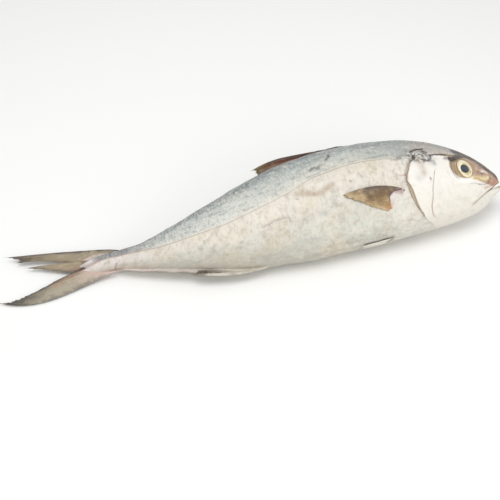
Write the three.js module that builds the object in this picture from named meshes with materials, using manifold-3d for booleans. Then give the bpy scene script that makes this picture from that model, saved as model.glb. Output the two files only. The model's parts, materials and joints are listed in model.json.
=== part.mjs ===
// Whole raw fish of the amberjack kind, lying on its left flank.
// Millimetres, +X towards the snout, +Y towards the back, +Z up from the surface it lies on.
//
// The fish is described in lengths of its own: s runs back from the snout, h runs up the
// flank from the keel line towards the back, and w runs out from the middle plane, with the
// right flank at w > 0. The function place() turns these into x, y and z.

import * as THREE from "three";
import { LoftGeometry } from "three/addons/geometries/LoftGeometry.js";
import { mergeVertices } from "three/addons/utils/BufferGeometryUtils.js";
import Module from "manifold-3d";

// ---- Driving dimensions ----

const SNOUT_X = 291.3; // s = 0, placed so that the whole fish is centred on x = 0
const KEEL_Y = -10; // the keel line, placed so that the whole fish is centred on y = 0

// Stations of the body, from the snout to the root of the tail:
// s, back edge h, belly edge h, half thickness, height of the keel line above the surface.
const STATIONS = [
  [-4, 11, 8, 1, 34],
  [3, 21, -4, 7, 34],
  [12, 31.5, -15, 12.5, 34],
  [30, 46, -27.5, 20.5, 34.5],
  [55, 59.5, -35.5, 28, 35],
  [85, 70, -41, 34, 35.5],
  [120, 76, -46, 37.5, 36],
  [160, 77.5, -50.5, 39, 36],
  [200, 75, -54, 38.5, 36],
  [250, 66.5, -57, 36.5, 36],
  [300, 52, -56, 32.5, 34],
  [350, 33.5, -48, 26.5, 30],
  [400, 17, -33.5, 18.5, 22],
  [440, 6.5, -23, 13, 15],
  [468, 7, -17, 9.5, 10],
  [495, 7.5, -15.5, 4.5, 6],
  [512, 2, -10, 1.6, 5],
];
const BODY_RINGS = 52;
const RING_POINTS = 32;
// The sections are a little fuller than ellipses, and broader towards the back.
const SECTION = { power: 0.92, shoulder: 0.07 };
const RING_CROWDING = 1.45; // above 1, the rings crowd towards the snout

const ROLL = 22; // degrees that the back is raised above the belly
const TAIL_ROLL = 4; // degrees left of that at the tail fin
const ROLL_FADE = [280, 480]; // s over which the body untwists

// Gill cover: its rear edge is a parabola in h, and it stands proud of the shoulder. It rises
// over the lengths s given, and sinks back over the last few millimetres before its edge.
const GILL = { rear: 127.5, middle: 2, half: 37, sweep: 19, proud: 1.6, rise: [55, 115], edge: 5 };
const GILL_FLAT_HALF = 15; // it keeps its full height this far above and below its middle

const EYE = { s: 46.6, h: 16.4, iris: 11, bulge: 4.2, rim: 15 };
const NOSTRILS = [
  [23.3, 10.5],
  [17.5, 8.7],
];
const NOSTRIL = { radius: 1.2, depth: 2 };
const SUNK_SHARE = 0.35; // of the depth of a button that lies under the skin beside it

// Half width and depth of the slits and folds of the head.
const GROOVES = {
  gill: { half: 0.8, depth: 3 },
  cheek: { half: 0.7, depth: 1.4 },
  mouth: { half: 1, depth: 6 },
  eyeRim: { half: 0.7, depth: 1.6 },
};

// Pectoral fin: its rays fan from a root line to a line of tips. The first ray is the top
// edge of the fin and the last one its short lower corner.
const PECTORAL = {
  rays: 6,
  rootS: [137, 151],
  rootH: [-2.5, -14],
  tipS: [204, 160],
  tipH: [-3, -27],
  droop: 0.75, // below 1, the tips fall away early from the top edge
  arch: 2.5, // rise of the top ray above a straight line
  buried: 2, // length of a ray under the skin of its root
};

const EDGE_FIN_SUNK = 3; // depth of a back or belly fin's foot in the body
const FREE_TIP_DEPTH = 1.5; // height of such a fin where its rear tip comes free
const FREE_FROM = 0.72; // share of its length from which it comes free

// Block that is cut away under the surface: length, width and depth.
const BELOW = [1000, 400, 100];

// ---- Small tools ----

const wasm = await Module();
wasm.setup();

// Smooth curve through points without overshoot (a monotone cubic).
function smoothCurve(xs, ys) {
  const step = xs.slice(1).map((x, i) => x - xs[i]);
  const slope = step.map((d, i) => (ys[i + 1] - ys[i]) / d);
  const tangent = xs.map((_, i) => {
    if (i === 0 || i === xs.length - 1) return slope[Math.min(i, slope.length - 1)];
    if (slope[i - 1] * slope[i] <= 0) return 0;
    return (2 * slope[i - 1] * slope[i]) / (slope[i - 1] + slope[i]);
  });
  return (x) => {
    const at = THREE.MathUtils.clamp(x, xs[0], xs[xs.length - 1]);
    const found = xs.findIndex((knot) => knot > at);
    const i = found < 0 ? step.length - 1 : found - 1;
    const t = (at - xs[i]) / step[i];
    const rise = ys[i] * (1 + 2 * t) * (1 - t) ** 2 + ys[i + 1] * t * t * (3 - 2 * t);
    return rise + step[i] * (tangent[i] * t * (1 - t) ** 2 - tangent[i + 1] * t * t * (1 - t));
  };
}

// Smooth curve through values at equal steps from 0 to 1.
function evenCurve(values) {
  return smoothCurve(
    values.map((_, i) => i / (values.length - 1)),
    values,
  );
}

function solidOf(geometry) {
  const bare = new THREE.BufferGeometry();
  bare.setAttribute("position", geometry.getAttribute("position"));
  bare.setIndex(geometry.index);
  const merged = mergeVertices(bare, 1e-4);
  return new wasm.Manifold(
    new wasm.Mesh({
      numProp: 3,
      vertProperties: merged.attributes.position.array,
      triVerts: merged.index.array,
    }),
  );
}

// The way a flat section faces, by the right-hand rule round its points.
function facing(section) {
  const [first, ...rest] = section.map((point) => point.clone().sub(section[0]));
  return rest.reduce(
    (sum, point, i) => (i ? sum.add(rest[i - 1].clone().cross(point)) : sum),
    first.clone(),
  );
}

// A closed solid through a row of sections, each turned to face the last one.
function loft(sections) {
  const ahead = sections[1][0].clone().sub(sections[0][0]);
  const wound = sections.map((section) =>
    facing(sections[0]).dot(ahead) > 0 ? section : [...section].reverse(),
  );
  return solidOf(new LoftGeometry(wound, { capStart: true, capEnd: true }));
}

function steps(count) {
  return Array.from({ length: count + 1 }, (_, i) => i / count);
}

// ---- The body's surface ----

const column = (i) => STATIONS.map((row) => row[i]);
const [backEdge, bellyEdge, halfThick, keelHeight] = [1, 2, 3, 4].map((i) =>
  smoothCurve(column(0), column(i)),
);

function place(s, h, w) {
  const fade = THREE.MathUtils.smoothstep(s, ...ROLL_FADE);
  const roll = THREE.MathUtils.degToRad(THREE.MathUtils.lerp(ROLL, TAIL_ROLL, fade));
  return new THREE.Vector3(
    SNOUT_X - s,
    KEEL_Y + h * Math.cos(roll) - w * Math.sin(roll),
    keelHeight(s) + h * Math.sin(roll) + w * Math.cos(roll),
  );
}

const gillEdge = (h) => GILL.rear - GILL.sweep * ((h - GILL.middle) / GILL.half) ** 2;

// How far the gill cover lifts the skin at a point of the flank.
function gillLift(s, h) {
  const behind = THREE.MathUtils.smoothstep(s, gillEdge(h) - GILL.edge, gillEdge(h));
  const along = THREE.MathUtils.smoothstep(s, ...GILL.rise);
  const away = THREE.MathUtils.smoothstep(Math.abs(h - GILL.middle), GILL_FLAT_HALF, GILL.half);
  return GILL.proud * along * (1 - away) * (1 - behind);
}

const midHeight = (s) => (backEdge(s) + bellyEdge(s)) / 2;
const halfHeight = (s) => (backEdge(s) - bellyEdge(s)) / 2;

// A point of the skin at an angle round the section: 0 at the back, PI at the belly. The
// right flank comes first and the left one after PI.
function ringPoint(s, angle) {
  const h = midHeight(s) + halfHeight(s) * Math.cos(angle);
  const across = Math.sign(Math.sin(angle)) * Math.abs(Math.sin(angle)) ** SECTION.power;
  const w = halfThick(s) * across * (1 + SECTION.shoulder * Math.cos(angle));
  return [h, w + gillLift(s, h) * across];
}

// Distance of the skin from the middle plane at height h of the flank.
function skin(s, h) {
  const cosine = THREE.MathUtils.clamp((h - midHeight(s)) / halfHeight(s), -1, 1);
  return ringPoint(s, Math.acos(cosine))[1];
}

function body() {
  const first = STATIONS[0][0];
  const last = STATIONS[STATIONS.length - 1][0];
  const stations = steps(BODY_RINGS).map((t) => first + (last - first) * t ** RING_CROWDING);
  return loft(
    stations.map((s) =>
      steps(RING_POINTS)
        .slice(1)
        .map((t) => place(s, ...ringPoint(s, 2 * Math.PI * t))),
    ),
  );
}

// ---- Blades: fins, ray bundles, jaw bones and the cutters for grooves ----

// Places across a blade from edge to edge, with the share of full thickness there.
const LENS = [
  [-1, 0],
  [-0.6, 0.8],
  [0, 1],
  [0.6, 0.8],
  [1, 0],
];
const DIAMOND = [
  [-1, 0],
  [0, 1],
  [1, 0],
];

// A flat section swept along a path of [s, h, w] points, flat in the plane of the flank.
// Half width and half thickness run through the values given, from the root to the tip.
// With side 1 or -1 the blade lies on that flank, lifted off the skin, and w is left out.
function blade({ path, width, thick, side = 0, lift = [0, 0], count = 6, section = DIAMOND }) {
  const curve = new THREE.CatmullRomCurve3(path.map(([s, h, w = 0]) => new THREE.Vector3(s, h, w)));
  const [halfWidth, halfDepth, height] = [width, thick, lift].map(evenCurve);
  return loft(
    steps(count).map((t) => {
      const centre = curve.getPoint(t);
      const along = curve.getTangent(t);
      const across = new THREE.Vector2(-along.y, along.x).normalize();
      const point = (c, share, face) => {
        const s = centre.x + across.x * c * halfWidth(t);
        const h = centre.y + across.y * c * halfWidth(t);
        const rest = side ? side * (skin(s, h) + height(t)) : centre.z;
        return place(s, h, rest + face * share * halfDepth(t));
      };
      const near = section.map(([c, share]) => point(c, share, 1));
      const far = section.slice(1, -1).map(([c, share]) => point(c, share, -1));
      return [...near, ...far.reverse()];
    }),
  );
}

// ---- Fins ----

// Tail fin: bundles of rays fanned from the root of the tail, the outermost bundle first.
// Each row gives the root s and h, the tip s and h, half the width, and how far the bundle
// bows off the straight line at a third and at two thirds of its length.
const UPPER_LOBE = [
  [463, 8.5, 583, 30.5, 4.2, 3, 1],
  [474, 6, 577, 27, 4.2, 2.5, 0],
  [484, 6, 574, 22.5, 4.2, 0, -0.5],
  [490, 3, 566, 14.5, 4.6, -1, -1],
  [493, 0, 553, 8.5, 4.6, -1.5, -1.5],
  [494, -2, 535, 1.5, 4.6, -1.5, -1.5],
  [495, -3, 514, -4, 4.6, 0, 0],
];
const LOWER_LOBE = [
  [466, -12, 588.5, -36, 4.6, -8, -13],
  [478, -10, 583, -36.5, 4.6, -5.5, -8.5],
  [487, -9, 574, -33.5, 4.6, -3.5, -5],
  [492, -8, 558, -28, 4.6, -2, -2],
  [494, -7, 536, -17.5, 4.6, -0.5, -0.5],
  [495, -6, 514, -8, 4.6, 0, 0],
];

function tailLobe(rows) {
  return rows.map(([s, h, tipS, tipH, half, nearBow, farBow]) =>
    blade({
      path: [
        [s, h],
        [s + (tipS - s) / 3, h + (tipH - h) / 3 + nearBow],
        [s + ((tipS - s) * 2) / 3, h + ((tipH - h) * 2) / 3 + farBow],
        [tipS, tipH],
      ],
      width: [half * 0.8, half, half * 0.9, 0.6],
      thick: [3.2, 1.7, 1.3, 0.8],
      count: 5,
    }),
  );
}

// A strip that stands on the back (sign 1) or the belly edge (sign -1), with its height at
// equal steps of its length. The rear part may come free of the body as a tip.
function edgeFin({ edge, from, to, heights, sign, thick, free = 0, count = 8 }) {
  const rise = evenCurve(heights);
  return loft(
    steps(count).map((t) => {
      const s = from + (to - from) * t;
      const top = edge(s) + sign * rise(t);
      const freed = free * THREE.MathUtils.smoothstep(t, FREE_FROM, 1);
      const tipFoot = freed * (rise(t) - FREE_TIP_DEPTH);
      const foot = edge(s) + sign * (tipFoot - EDGE_FIN_SUNK * (1 - freed));
      const at = (share, w) => place(s, foot + (top - foot) * share, w * thick);
      return [at(0, 0.9), at(0.5, 1), at(0.9, 0.6), at(1, 0), at(0.9, -0.6), at(0.5, -1), at(0, -0.9)];
    }),
  );
}

// Pectoral fin on one flank: overlapping bundles of rays that fan from a fleshy root.
function pectoralFin(side) {
  const { lerp } = THREE.MathUtils;
  const rays = steps(PECTORAL.rays - 1).map((t) => {
    const s = lerp(...PECTORAL.rootS, t);
    const h = lerp(...PECTORAL.rootH, t);
    const tipS = lerp(...PECTORAL.tipS, t);
    const tipH = lerp(...PECTORAL.tipH, t ** PECTORAL.droop);
    return blade({
      path: [
        [s - PECTORAL.buried, h],
        [(s + tipS) / 2, (h + tipH) / 2 + PECTORAL.arch * (1 - t)],
        [tipS, tipH],
      ],
      width: [2.2, 4.4, 5.6, 4.2],
      thick: [2.6, 1.9, 1.5, 0.9],
      side,
      lift: [0.6, 1.2, 1.4, 1.2],
      count: 5,
    });
  });
  const root = blade({
    path: [
      [130, -3],
      [141, -6],
      [152, -16],
    ],
    width: [1, 4, 1.5],
    thick: [1.5, 3, 1.8],
    side,
    lift: [0, 0.6, 0.2],
  });
  return [...rays, root];
}

function pelvicFin(side) {
  return blade({
    path: [
      [143, bellyEdge(143) + 4.5, side * 5],
      [160, bellyEdge(160) + 1, side * 6.5],
      [185, bellyEdge(185) + 0.5, side * 7],
    ],
    width: [1.5, 3.6, 3, 0.5],
    thick: [2.6, 2.2, 1.6, 0.8],
  });
}

function fins() {
  const frontDorsal = edgeFin({
    edge: backEdge,
    from: 150,
    to: 206,
    heights: [0.5, 3.2, 4.6, 4.2, 2.5],
    sign: 1,
    thick: 2.2,
  });
  const rearDorsal = edgeFin({
    edge: backEdge,
    from: 198,
    to: 289,
    heights: [3, 6.5, 8, 8.6, 8.5],
    sign: 1,
    thick: 2,
    free: 1,
    count: 10,
  });
  const backRidge = edgeFin({
    edge: backEdge,
    from: 270,
    to: 462,
    heights: [3.5, 2.4, 2.4, 2.2, 2, 1],
    sign: 1,
    thick: 1.8,
    count: 12,
  });
  const analLobe = edgeFin({
    edge: bellyEdge,
    from: 306,
    to: 386,
    heights: [1, 6, 8.5, 9.5, 9],
    sign: -1,
    thick: 1.8,
    free: 1,
    count: 10,
  });
  const bellyRidge = edgeFin({
    edge: bellyEdge,
    from: 370,
    to: 458,
    heights: [4, 3.4, 2.6, 1],
    sign: -1,
    thick: 1.6,
    count: 7,
  });
  return [frontDorsal, rearDorsal, backRidge, analLobe, bellyRidge];
}

// ---- Head ----

// The lower jaw reaches a little past the snout.
function chin() {
  return blade({
    path: [
      [18, -11],
      [6, -4.5],
      [-2, -1.8],
      [-6, -1.5],
    ],
    width: [3, 4.6, 3.6, 1],
    thick: [10, 8.5, 5, 1.5],
    section: LENS,
  });
}

// Upper jaw bone, a flat plate that widens back from the lip.
function jawBone(side) {
  return blade({
    path: [
      [14, -1],
      [28, -9],
      [42, -15.5],
    ],
    width: [1.5, 4.2, 5.2, 4.4],
    thick: [0.9, 1.3, 1.3, 0.9],
    side,
    lift: [0.1, 0.3],
    section: LENS,
  });
}

// A flattened ball set in the skin: an eyeball that bulges, or a cutter for a shallow hole.
function button(s, h, side, { radius, depth }, detail) {
  const sphere = new THREE.SphereGeometry(1, detail, detail / 2);
  sphere.rotateX(Math.PI / 2);
  sphere.scale(radius, radius, depth);
  // The skin's slope along and up the head tilts the button so that it lies flush.
  const reach = EYE.iris / 2;
  const slopeS = (skin(s + reach, h) - skin(s - reach, h)) / (2 * reach);
  const slopeH = (skin(s, h + reach) - skin(s, h - reach)) / (2 * reach);
  const seat = place(s, h, side * (skin(s, h) - SUNK_SHARE * depth));
  const out = place(s, h, side).sub(place(s, h, 0));
  const up = place(s, h + 1, 0).sub(place(s, h, 0));
  const normal = out.addScaledVector(up, -slopeH).add(new THREE.Vector3(slopeS, 0, 0));
  sphere.applyQuaternion(
    new THREE.Quaternion().setFromUnitVectors(new THREE.Vector3(0, 0, 1), normal.normalize()),
  );
  sphere.translate(seat.x, seat.y, seat.z);
  return solidOf(sphere);
}

function groove(path, side, { half, depth }, count) {
  return blade({
    path,
    width: [half * 0.6, half, half, half * 0.6],
    thick: [depth * 0.5, depth, depth, depth * 0.5],
    side,
    count,
  });
}

function headCuts(side) {
  const gillHeights = [36, 28, 18, 8, -2, -12, -22, -31];
  const gillSlit = [
    [101, 39],
    ...gillHeights.map((h) => [gillEdge(h) + 0.5, h]),
    [103, -37],
    [90, -38],
  ];
  const cheekLine = [
    [87, 16],
    [92, 7],
    [97, -6],
    [100, -22],
    [99, -31],
    [94, -35],
  ];
  const mouthSide = [
    [8, -3],
    [20, -10],
    [32, -17.5],
    [45, -24.5],
  ];
  // The fold round the eye stops just short of a full turn, so that it doesn't cross itself.
  const eyeRim = steps(12).map((t) => {
    const angle = 2 * Math.PI * t * 0.98;
    return [EYE.s + EYE.rim * 0.93 * Math.cos(angle), EYE.h + EYE.rim * Math.sin(angle)];
  });
  return [
    groove(gillSlit, side, GROOVES.gill, 14),
    groove(cheekLine, side, GROOVES.cheek, 8),
    groove(mouthSide, side, GROOVES.mouth, 7),
    groove(eyeRim, side, GROOVES.eyeRim, 16),
    ...NOSTRILS.map(([s, h]) => button(s, h, side, NOSTRIL, 8)),
  ];
}

// The lips part a little at the front of the mouth.
function mouthGap() {
  return blade({
    path: [
      [-9, 3.6],
      [2, 2.6],
      [12, -5],
    ],
    width: [2.2, 1.9, 0.9],
    thick: [40, 40, 40],
    count: 4,
  });
}

// ---- The whole fish ----

function wholeFish() {
  const sides = [1, -1];
  const added = [
    chin(),
    ...sides.map(jawBone),
    ...sides.flatMap(pectoralFin),
    ...sides.map(pelvicFin),
    ...fins(),
    ...tailLobe(UPPER_LOBE),
    ...tailLobe(LOWER_LOBE),
  ];
  const cuts = [mouthGap(), ...sides.flatMap(headCuts)];
  const eyeball = { radius: EYE.iris, depth: EYE.bulge };
  const eyes = sides.map((side) => button(EYE.s, EYE.h, side, eyeball, 20));
  const below = new THREE.BoxGeometry(...BELOW);
  below.translate(0, 0, -BELOW[2] / 2);

  let fish = body();
  for (const piece of added) fish = fish.add(piece);
  for (const cut of cuts) fish = fish.subtract(cut);
  for (const eye of eyes) fish = fish.add(eye);
  return fish.subtract(solidOf(below));
}

function geometryOf(solid) {
  const mesh = solid.getMesh();
  const geometry = new THREE.BufferGeometry();
  geometry.setAttribute("position", new THREE.BufferAttribute(mesh.vertProperties, 3));
  geometry.setIndex(new THREE.BufferAttribute(mesh.triVerts, 1));
  geometry.computeVertexNormals();
  return geometry;
}

// Raw skin: silver beige, wet and fairly glossy.
const rawSkin = new THREE.MeshStandardMaterial({ color: "#d6d1c4", roughness: 0.35, metalness: 0.1 });

const fishMesh = new THREE.Mesh(geometryOf(wholeFish()), rawSkin);
fishMesh.name = "whole_fish";

const part = new THREE.Group();
part.add(fishMesh);

export default part;
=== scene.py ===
# %% [markdown]
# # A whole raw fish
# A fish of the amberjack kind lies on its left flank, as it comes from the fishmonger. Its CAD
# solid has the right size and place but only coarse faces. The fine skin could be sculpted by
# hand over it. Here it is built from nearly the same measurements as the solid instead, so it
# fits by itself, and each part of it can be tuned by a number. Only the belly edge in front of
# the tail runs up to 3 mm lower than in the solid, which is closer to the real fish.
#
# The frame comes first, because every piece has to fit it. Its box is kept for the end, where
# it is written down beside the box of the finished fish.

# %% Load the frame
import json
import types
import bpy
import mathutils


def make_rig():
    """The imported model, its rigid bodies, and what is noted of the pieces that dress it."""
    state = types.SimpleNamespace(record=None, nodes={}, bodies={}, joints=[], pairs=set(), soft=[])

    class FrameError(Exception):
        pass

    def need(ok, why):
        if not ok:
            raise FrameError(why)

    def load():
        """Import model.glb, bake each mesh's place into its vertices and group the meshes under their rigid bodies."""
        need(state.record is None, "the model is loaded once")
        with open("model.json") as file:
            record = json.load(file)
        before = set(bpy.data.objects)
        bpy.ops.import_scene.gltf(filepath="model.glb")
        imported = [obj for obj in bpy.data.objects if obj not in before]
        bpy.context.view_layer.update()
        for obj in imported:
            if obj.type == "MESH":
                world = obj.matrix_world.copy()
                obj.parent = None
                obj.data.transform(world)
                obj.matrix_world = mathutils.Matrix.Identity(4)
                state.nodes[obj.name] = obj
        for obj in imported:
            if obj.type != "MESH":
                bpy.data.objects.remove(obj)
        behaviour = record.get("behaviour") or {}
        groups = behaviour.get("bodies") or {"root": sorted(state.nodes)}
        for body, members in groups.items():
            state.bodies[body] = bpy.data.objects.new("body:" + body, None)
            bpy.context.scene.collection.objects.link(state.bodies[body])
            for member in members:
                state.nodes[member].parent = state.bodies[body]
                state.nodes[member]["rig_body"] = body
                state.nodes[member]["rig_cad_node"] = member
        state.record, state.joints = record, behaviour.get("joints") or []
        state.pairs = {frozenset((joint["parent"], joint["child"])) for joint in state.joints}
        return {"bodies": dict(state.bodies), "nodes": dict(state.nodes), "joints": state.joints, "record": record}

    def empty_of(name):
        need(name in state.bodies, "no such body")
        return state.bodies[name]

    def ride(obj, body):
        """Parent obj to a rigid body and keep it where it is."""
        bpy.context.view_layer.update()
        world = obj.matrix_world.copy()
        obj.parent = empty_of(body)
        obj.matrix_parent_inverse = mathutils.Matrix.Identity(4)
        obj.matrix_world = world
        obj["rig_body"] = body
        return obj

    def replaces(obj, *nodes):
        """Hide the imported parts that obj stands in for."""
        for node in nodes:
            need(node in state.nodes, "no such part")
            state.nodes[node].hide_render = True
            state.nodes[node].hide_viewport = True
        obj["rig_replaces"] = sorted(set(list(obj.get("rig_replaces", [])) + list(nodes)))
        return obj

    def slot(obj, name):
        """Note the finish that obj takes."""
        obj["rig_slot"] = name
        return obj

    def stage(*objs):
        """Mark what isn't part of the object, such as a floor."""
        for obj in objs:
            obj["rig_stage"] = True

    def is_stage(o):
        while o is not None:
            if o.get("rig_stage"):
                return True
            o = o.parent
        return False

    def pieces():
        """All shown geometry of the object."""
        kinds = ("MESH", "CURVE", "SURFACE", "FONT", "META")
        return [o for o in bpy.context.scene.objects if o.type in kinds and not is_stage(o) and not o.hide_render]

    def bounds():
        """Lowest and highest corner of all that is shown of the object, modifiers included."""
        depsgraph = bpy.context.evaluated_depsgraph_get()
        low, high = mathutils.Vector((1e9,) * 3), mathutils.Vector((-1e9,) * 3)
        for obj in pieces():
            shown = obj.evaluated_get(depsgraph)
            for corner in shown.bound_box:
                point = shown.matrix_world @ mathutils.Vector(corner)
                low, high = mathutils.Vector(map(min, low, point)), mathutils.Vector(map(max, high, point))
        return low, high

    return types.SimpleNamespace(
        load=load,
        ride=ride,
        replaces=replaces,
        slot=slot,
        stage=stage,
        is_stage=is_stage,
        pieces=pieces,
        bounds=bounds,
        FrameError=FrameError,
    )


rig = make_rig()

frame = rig.load()

import json
import math

import bmesh
import bpy
import numpy as np
from mathutils import Matrix, Vector

cad_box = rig.bounds()
print("CAD box in mm:", [[round(1000 * c, 1) for c in corner] for corner in cad_box])

# %% [markdown]
# ## Measurements
# A fish is measured along itself: s runs back from the snout, h up the flank towards the
# back, and w out from the middle plane, with the flank that faces up at w > 0. All three are
# in millimetres. The outline could be drawn with hundreds of points, but a few stations are
# easier to read and to change.

# %% Stations of the fish
SNOUT_X = 291.3  # mm in the frame
KEEL_Y = -10  # the same, of the line h = 0, w = 0 that runs through the body

# s, back edge h, belly edge h, half thickness, height of that line above the surface.
STATIONS = [
    (-4, 9.4, -2.6, 2.6, 34),
    (-3, 12.6, -3.6, 4.2, 34),
    (0, 17.6, -5.8, 6.6, 34),
    (4, 22.4, -8.6, 8.8, 34),
    (12, 31.5, -15, 12.9, 34),
    (30, 46, -27.5, 20.5, 34.5),
    (55, 59.5, -35.5, 28, 35),
    (85, 70, -41, 34, 35.5),
    (120, 76, -46, 37.5, 36),
    (160, 77.5, -50.5, 39, 36),
    (200, 75, -54, 38.5, 36),
    (250, 66.5, -57, 36.5, 36),
    (300, 52, -56, 32.5, 34),
    (350, 33.5, -49.5, 26.5, 30),
    (400, 17, -36.5, 18.5, 22),
    (440, 6.5, -24.5, 13, 15),
    (468, 7, -17, 9.5, 10),
    (495, 7.5, -15.5, 4.5, 6),
    (512, 2, -10, 1.6, 5),
]
print("stations:", len(STATIONS), "from s =", STATIONS[0][0], "to", STATIONS[-1][0], "mm")

# %% [markdown]
# ## Curves between the stations
# A real fish has no corners. Straight lines between the stations would leave kinks, and an
# ordinary spline swings past its points and makes waves in the skin. A monotone cubic does
# neither, so it draws every smooth thing in this lesson, from the outline to the fins.

# %% Smooth steps and smooth curves
def smooth_step(x, start, end):
    """0 before start and 1 after end, with a soft rise in between. End may be the smaller."""
    t = np.clip((x - start) / (end - start), 0, 1)
    return t * t * (3 - 2 * t)


def smooth_curve(xs, ys):
    """A monotone cubic through the points, as a function of an array."""
    xs, ys = np.array(xs, float), np.array(ys, float)
    step = np.diff(xs)
    slope = np.diff(ys) / step
    before, after = slope[:-1], slope[1:]
    same_way = before * after > 0
    total = np.where(same_way, before + after, 1)
    inner = np.where(same_way, 2 * before * after / total, 0)
    tangent = np.concatenate([slope[:1], inner, slope[-1:]])

    def curve(x):
        x = np.clip(x, xs[0], xs[-1])
        i = np.clip(np.searchsorted(xs, x, side="right") - 1, 0, len(step) - 1)
        t = (x - xs[i]) / step[i]
        rise = ys[i] * (1 + 2 * t) * (1 - t) ** 2 + ys[i + 1] * t * t * (3 - 2 * t)
        return rise + step[i] * (tangent[i] * t * (1 - t) ** 2 - tangent[i + 1] * t * t * (1 - t))

    return curve


def even_curve(values):
    """A smooth curve through values at equal steps from 0 to 1."""
    return smooth_curve(np.linspace(0, 1, len(values)), values)


climb = even_curve([0, 10, 10])(np.linspace(0, 1, 9))
print("a curve through 0, 10 and 10 never swings past 10:", climb.round(1))

# %% Curves through the stations
columns = list(zip(*STATIONS))
back_edge, belly_edge, half_thick, keel_height = (
    smooth_curve(columns[0], columns[i]) for i in range(1, 5)
)
print("deepest at s = 160:", back_edge(160.0) - belly_edge(160.0), "mm")

# %% [markdown]
# ## From fish lengths to the table
# The fish doesn't stand on its belly. Its left flank rests on the table and its back is
# raised a little, and the body untwists towards the flat tail fin. Each piece could be turned
# into place on its own, but then their edges wouldn't meet. One function turns s, h and w
# into a place in the frame instead, so that every piece bends alike.

# %% Place points of the fish in the frame
ROLL = 22  # degrees that the back is raised over the belly
TAIL_ROLL = 4  # degrees left of that at the tail fin
ROLL_FADE = (280, 480)  # s over which the body untwists
MM = 0.001
SURFACE_ROUND = 0.8  # mm over which the skin rounds into its flat underside


def place(s, h, w):
    """Points of the frame in metres, one row each, kept above the surface."""
    s, h, w = np.broadcast_arrays(np.asarray(s, float), h, w)
    roll = np.radians(ROLL + (TAIL_ROLL - ROLL) * smooth_step(s, *ROLL_FADE))
    x = SNOUT_X - s
    y = KEEL_Y + h * np.cos(roll) - w * np.sin(roll)
    z = keel_height(s) + h * np.sin(roll) + w * np.cos(roll)
    pressed = (z + np.sqrt(z * z + SURFACE_ROUND**2)) / 2
    return MM * np.stack([x, y, pressed], axis=-1)


print("the snout in metres:", place(0, 6, 0).round(4))

# %% [markdown]
# ## The plain skin
# Cut across, a fish is nearly an ellipse, but a little fuller, and broader towards the back,
# where the thick muscles lie. A loft would need a drawn section at each station. One formula
# gives every section from its height and thickness instead, and two numbers set how full and
# how top heavy it is.

# %% The plain skin
ROUNDNESS = 0.46  # 0.5 gives ellipses, and less makes the sections fuller
BACK_HEAVY = 0.07  # how much broader the sections are towards the back


def skin(s, h):
    """Distance of the plain skin from the middle plane."""
    middle = (back_edge(s) + belly_edge(s)) / 2
    half = (back_edge(s) - belly_edge(s)) / 2
    girth = np.clip((h - middle) / half, -1, 1)
    return half_thick(s) * (1 - girth**2) ** ROUNDNESS * (1 + BACK_HEAVY * girth)


print("top of the flank at s = 160:", place(160, 30, skin(160.0, 30.0)).round(4))

# %% [markdown]
# ## Materials
# Wet raw skin has no single colour. It could be one picture laid over the fish, but a picture
# stretches at the fins and blurs close up. So each material is a graph of nodes, and its
# patterns follow numbers kept at the vertices, such as how far up the flank a point lies.
#
# One helper adds a node with its settings and links. Sockets are called by name where that
# tells more, and else by number, because Math and Mix nodes have several of one name. Colours
# are written as the sRGB hex values that a colour picker shows, and one function turns them
# to linear light.

# %% A helper for nodes and one for colours
def linear(code):
    """An sRGB hex colour as linear red, green, blue and alpha."""
    channels = [int(code[i : i + 2], 16) / 255 for i in (1, 3, 5)]
    return [c / 12.92 if c <= 0.04045 else ((c + 0.055) / 1.055) ** 2.4 for c in channels] + [1]


def add(tree, kind, inputs, out=0, stops=(), **settings):
    """Adds a node, sets and links its inputs, and returns one of its outputs.

    An input is a number, a vector, a hex colour or an output of another node. Stops are the
    places and the hex colours along a colour ramp.
    """
    node = tree.nodes.new("ShaderNode" + kind)
    for key, value in settings.items():
        setattr(node, key, value)
    for key, value in inputs.items():
        if isinstance(value, bpy.types.NodeSocket):
            tree.links.new(value, node.inputs[key])
        else:
            node.inputs[key].default_value = linear(value) if isinstance(value, str) else value
    for i, (position, code) in enumerate(stops):
        elements = node.color_ramp.elements
        element = elements[i] if i < 2 else elements.new(position)
        element.position = position
        element.color = linear(code)
    return node.outputs[out]


print("wet cream in linear light:", [round(c, 3) for c in linear("#e9e6e0")])

# %% [markdown]
# ## Coats of colour
# A painter would build up raw skin in thin coats: a ground colour, warm and cool blotches,
# dark flecks on the back, then single marks. The materials do the same. The nodes could be
# wired one by one, but rows in a table are easier to compare and tune. A coat is one row: a
# number, where that number starts and ends to show the coat, how strong it gets, its colour,
# and the masks that hold it back.
#
# The sockets 0 to 4 of a Map Range node are its value, the two limits it comes from and the
# two it goes to. A Mix node of colours has its share at 0, the colours at 6 and 7, and the
# result at 2.

# %% Lay coats over a colour
def paint(tree, colour, numbers, coats):
    """Lays coats over a colour, in order, each as strong as its number and masks allow."""
    for number, start, end, strength, code, *masks in coats:
        limits = {0: numbers[number], 1: start, 2: end, 3: 0, 4: strength}
        share = add(tree, "MapRange", limits, interpolation_type="SMOOTHSTEP")
        for mask in masks:
            share = add(tree, "Math", {0: share, 1: numbers[mask]}, operation="MULTIPLY")
        colour = add(tree, "Mix", {0: share, 6: colour, 7: code}, 2, data_type="RGBA")
    return colour


trial = bpy.data.materials.new("trial_coat")
trial.use_nodes = True
bare = len(trial.node_tree.nodes)
fleck = ("fleck", 0, 1, 0.5, "#53585a", "on_back")
paint(trial.node_tree, "#e9e6e0", {"fleck": 0.5, "on_back": 1}, [fleck])
print("nodes for one coat with one mask:", len(trial.node_tree.nodes) - bare)
bpy.data.materials.remove(trial)

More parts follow.
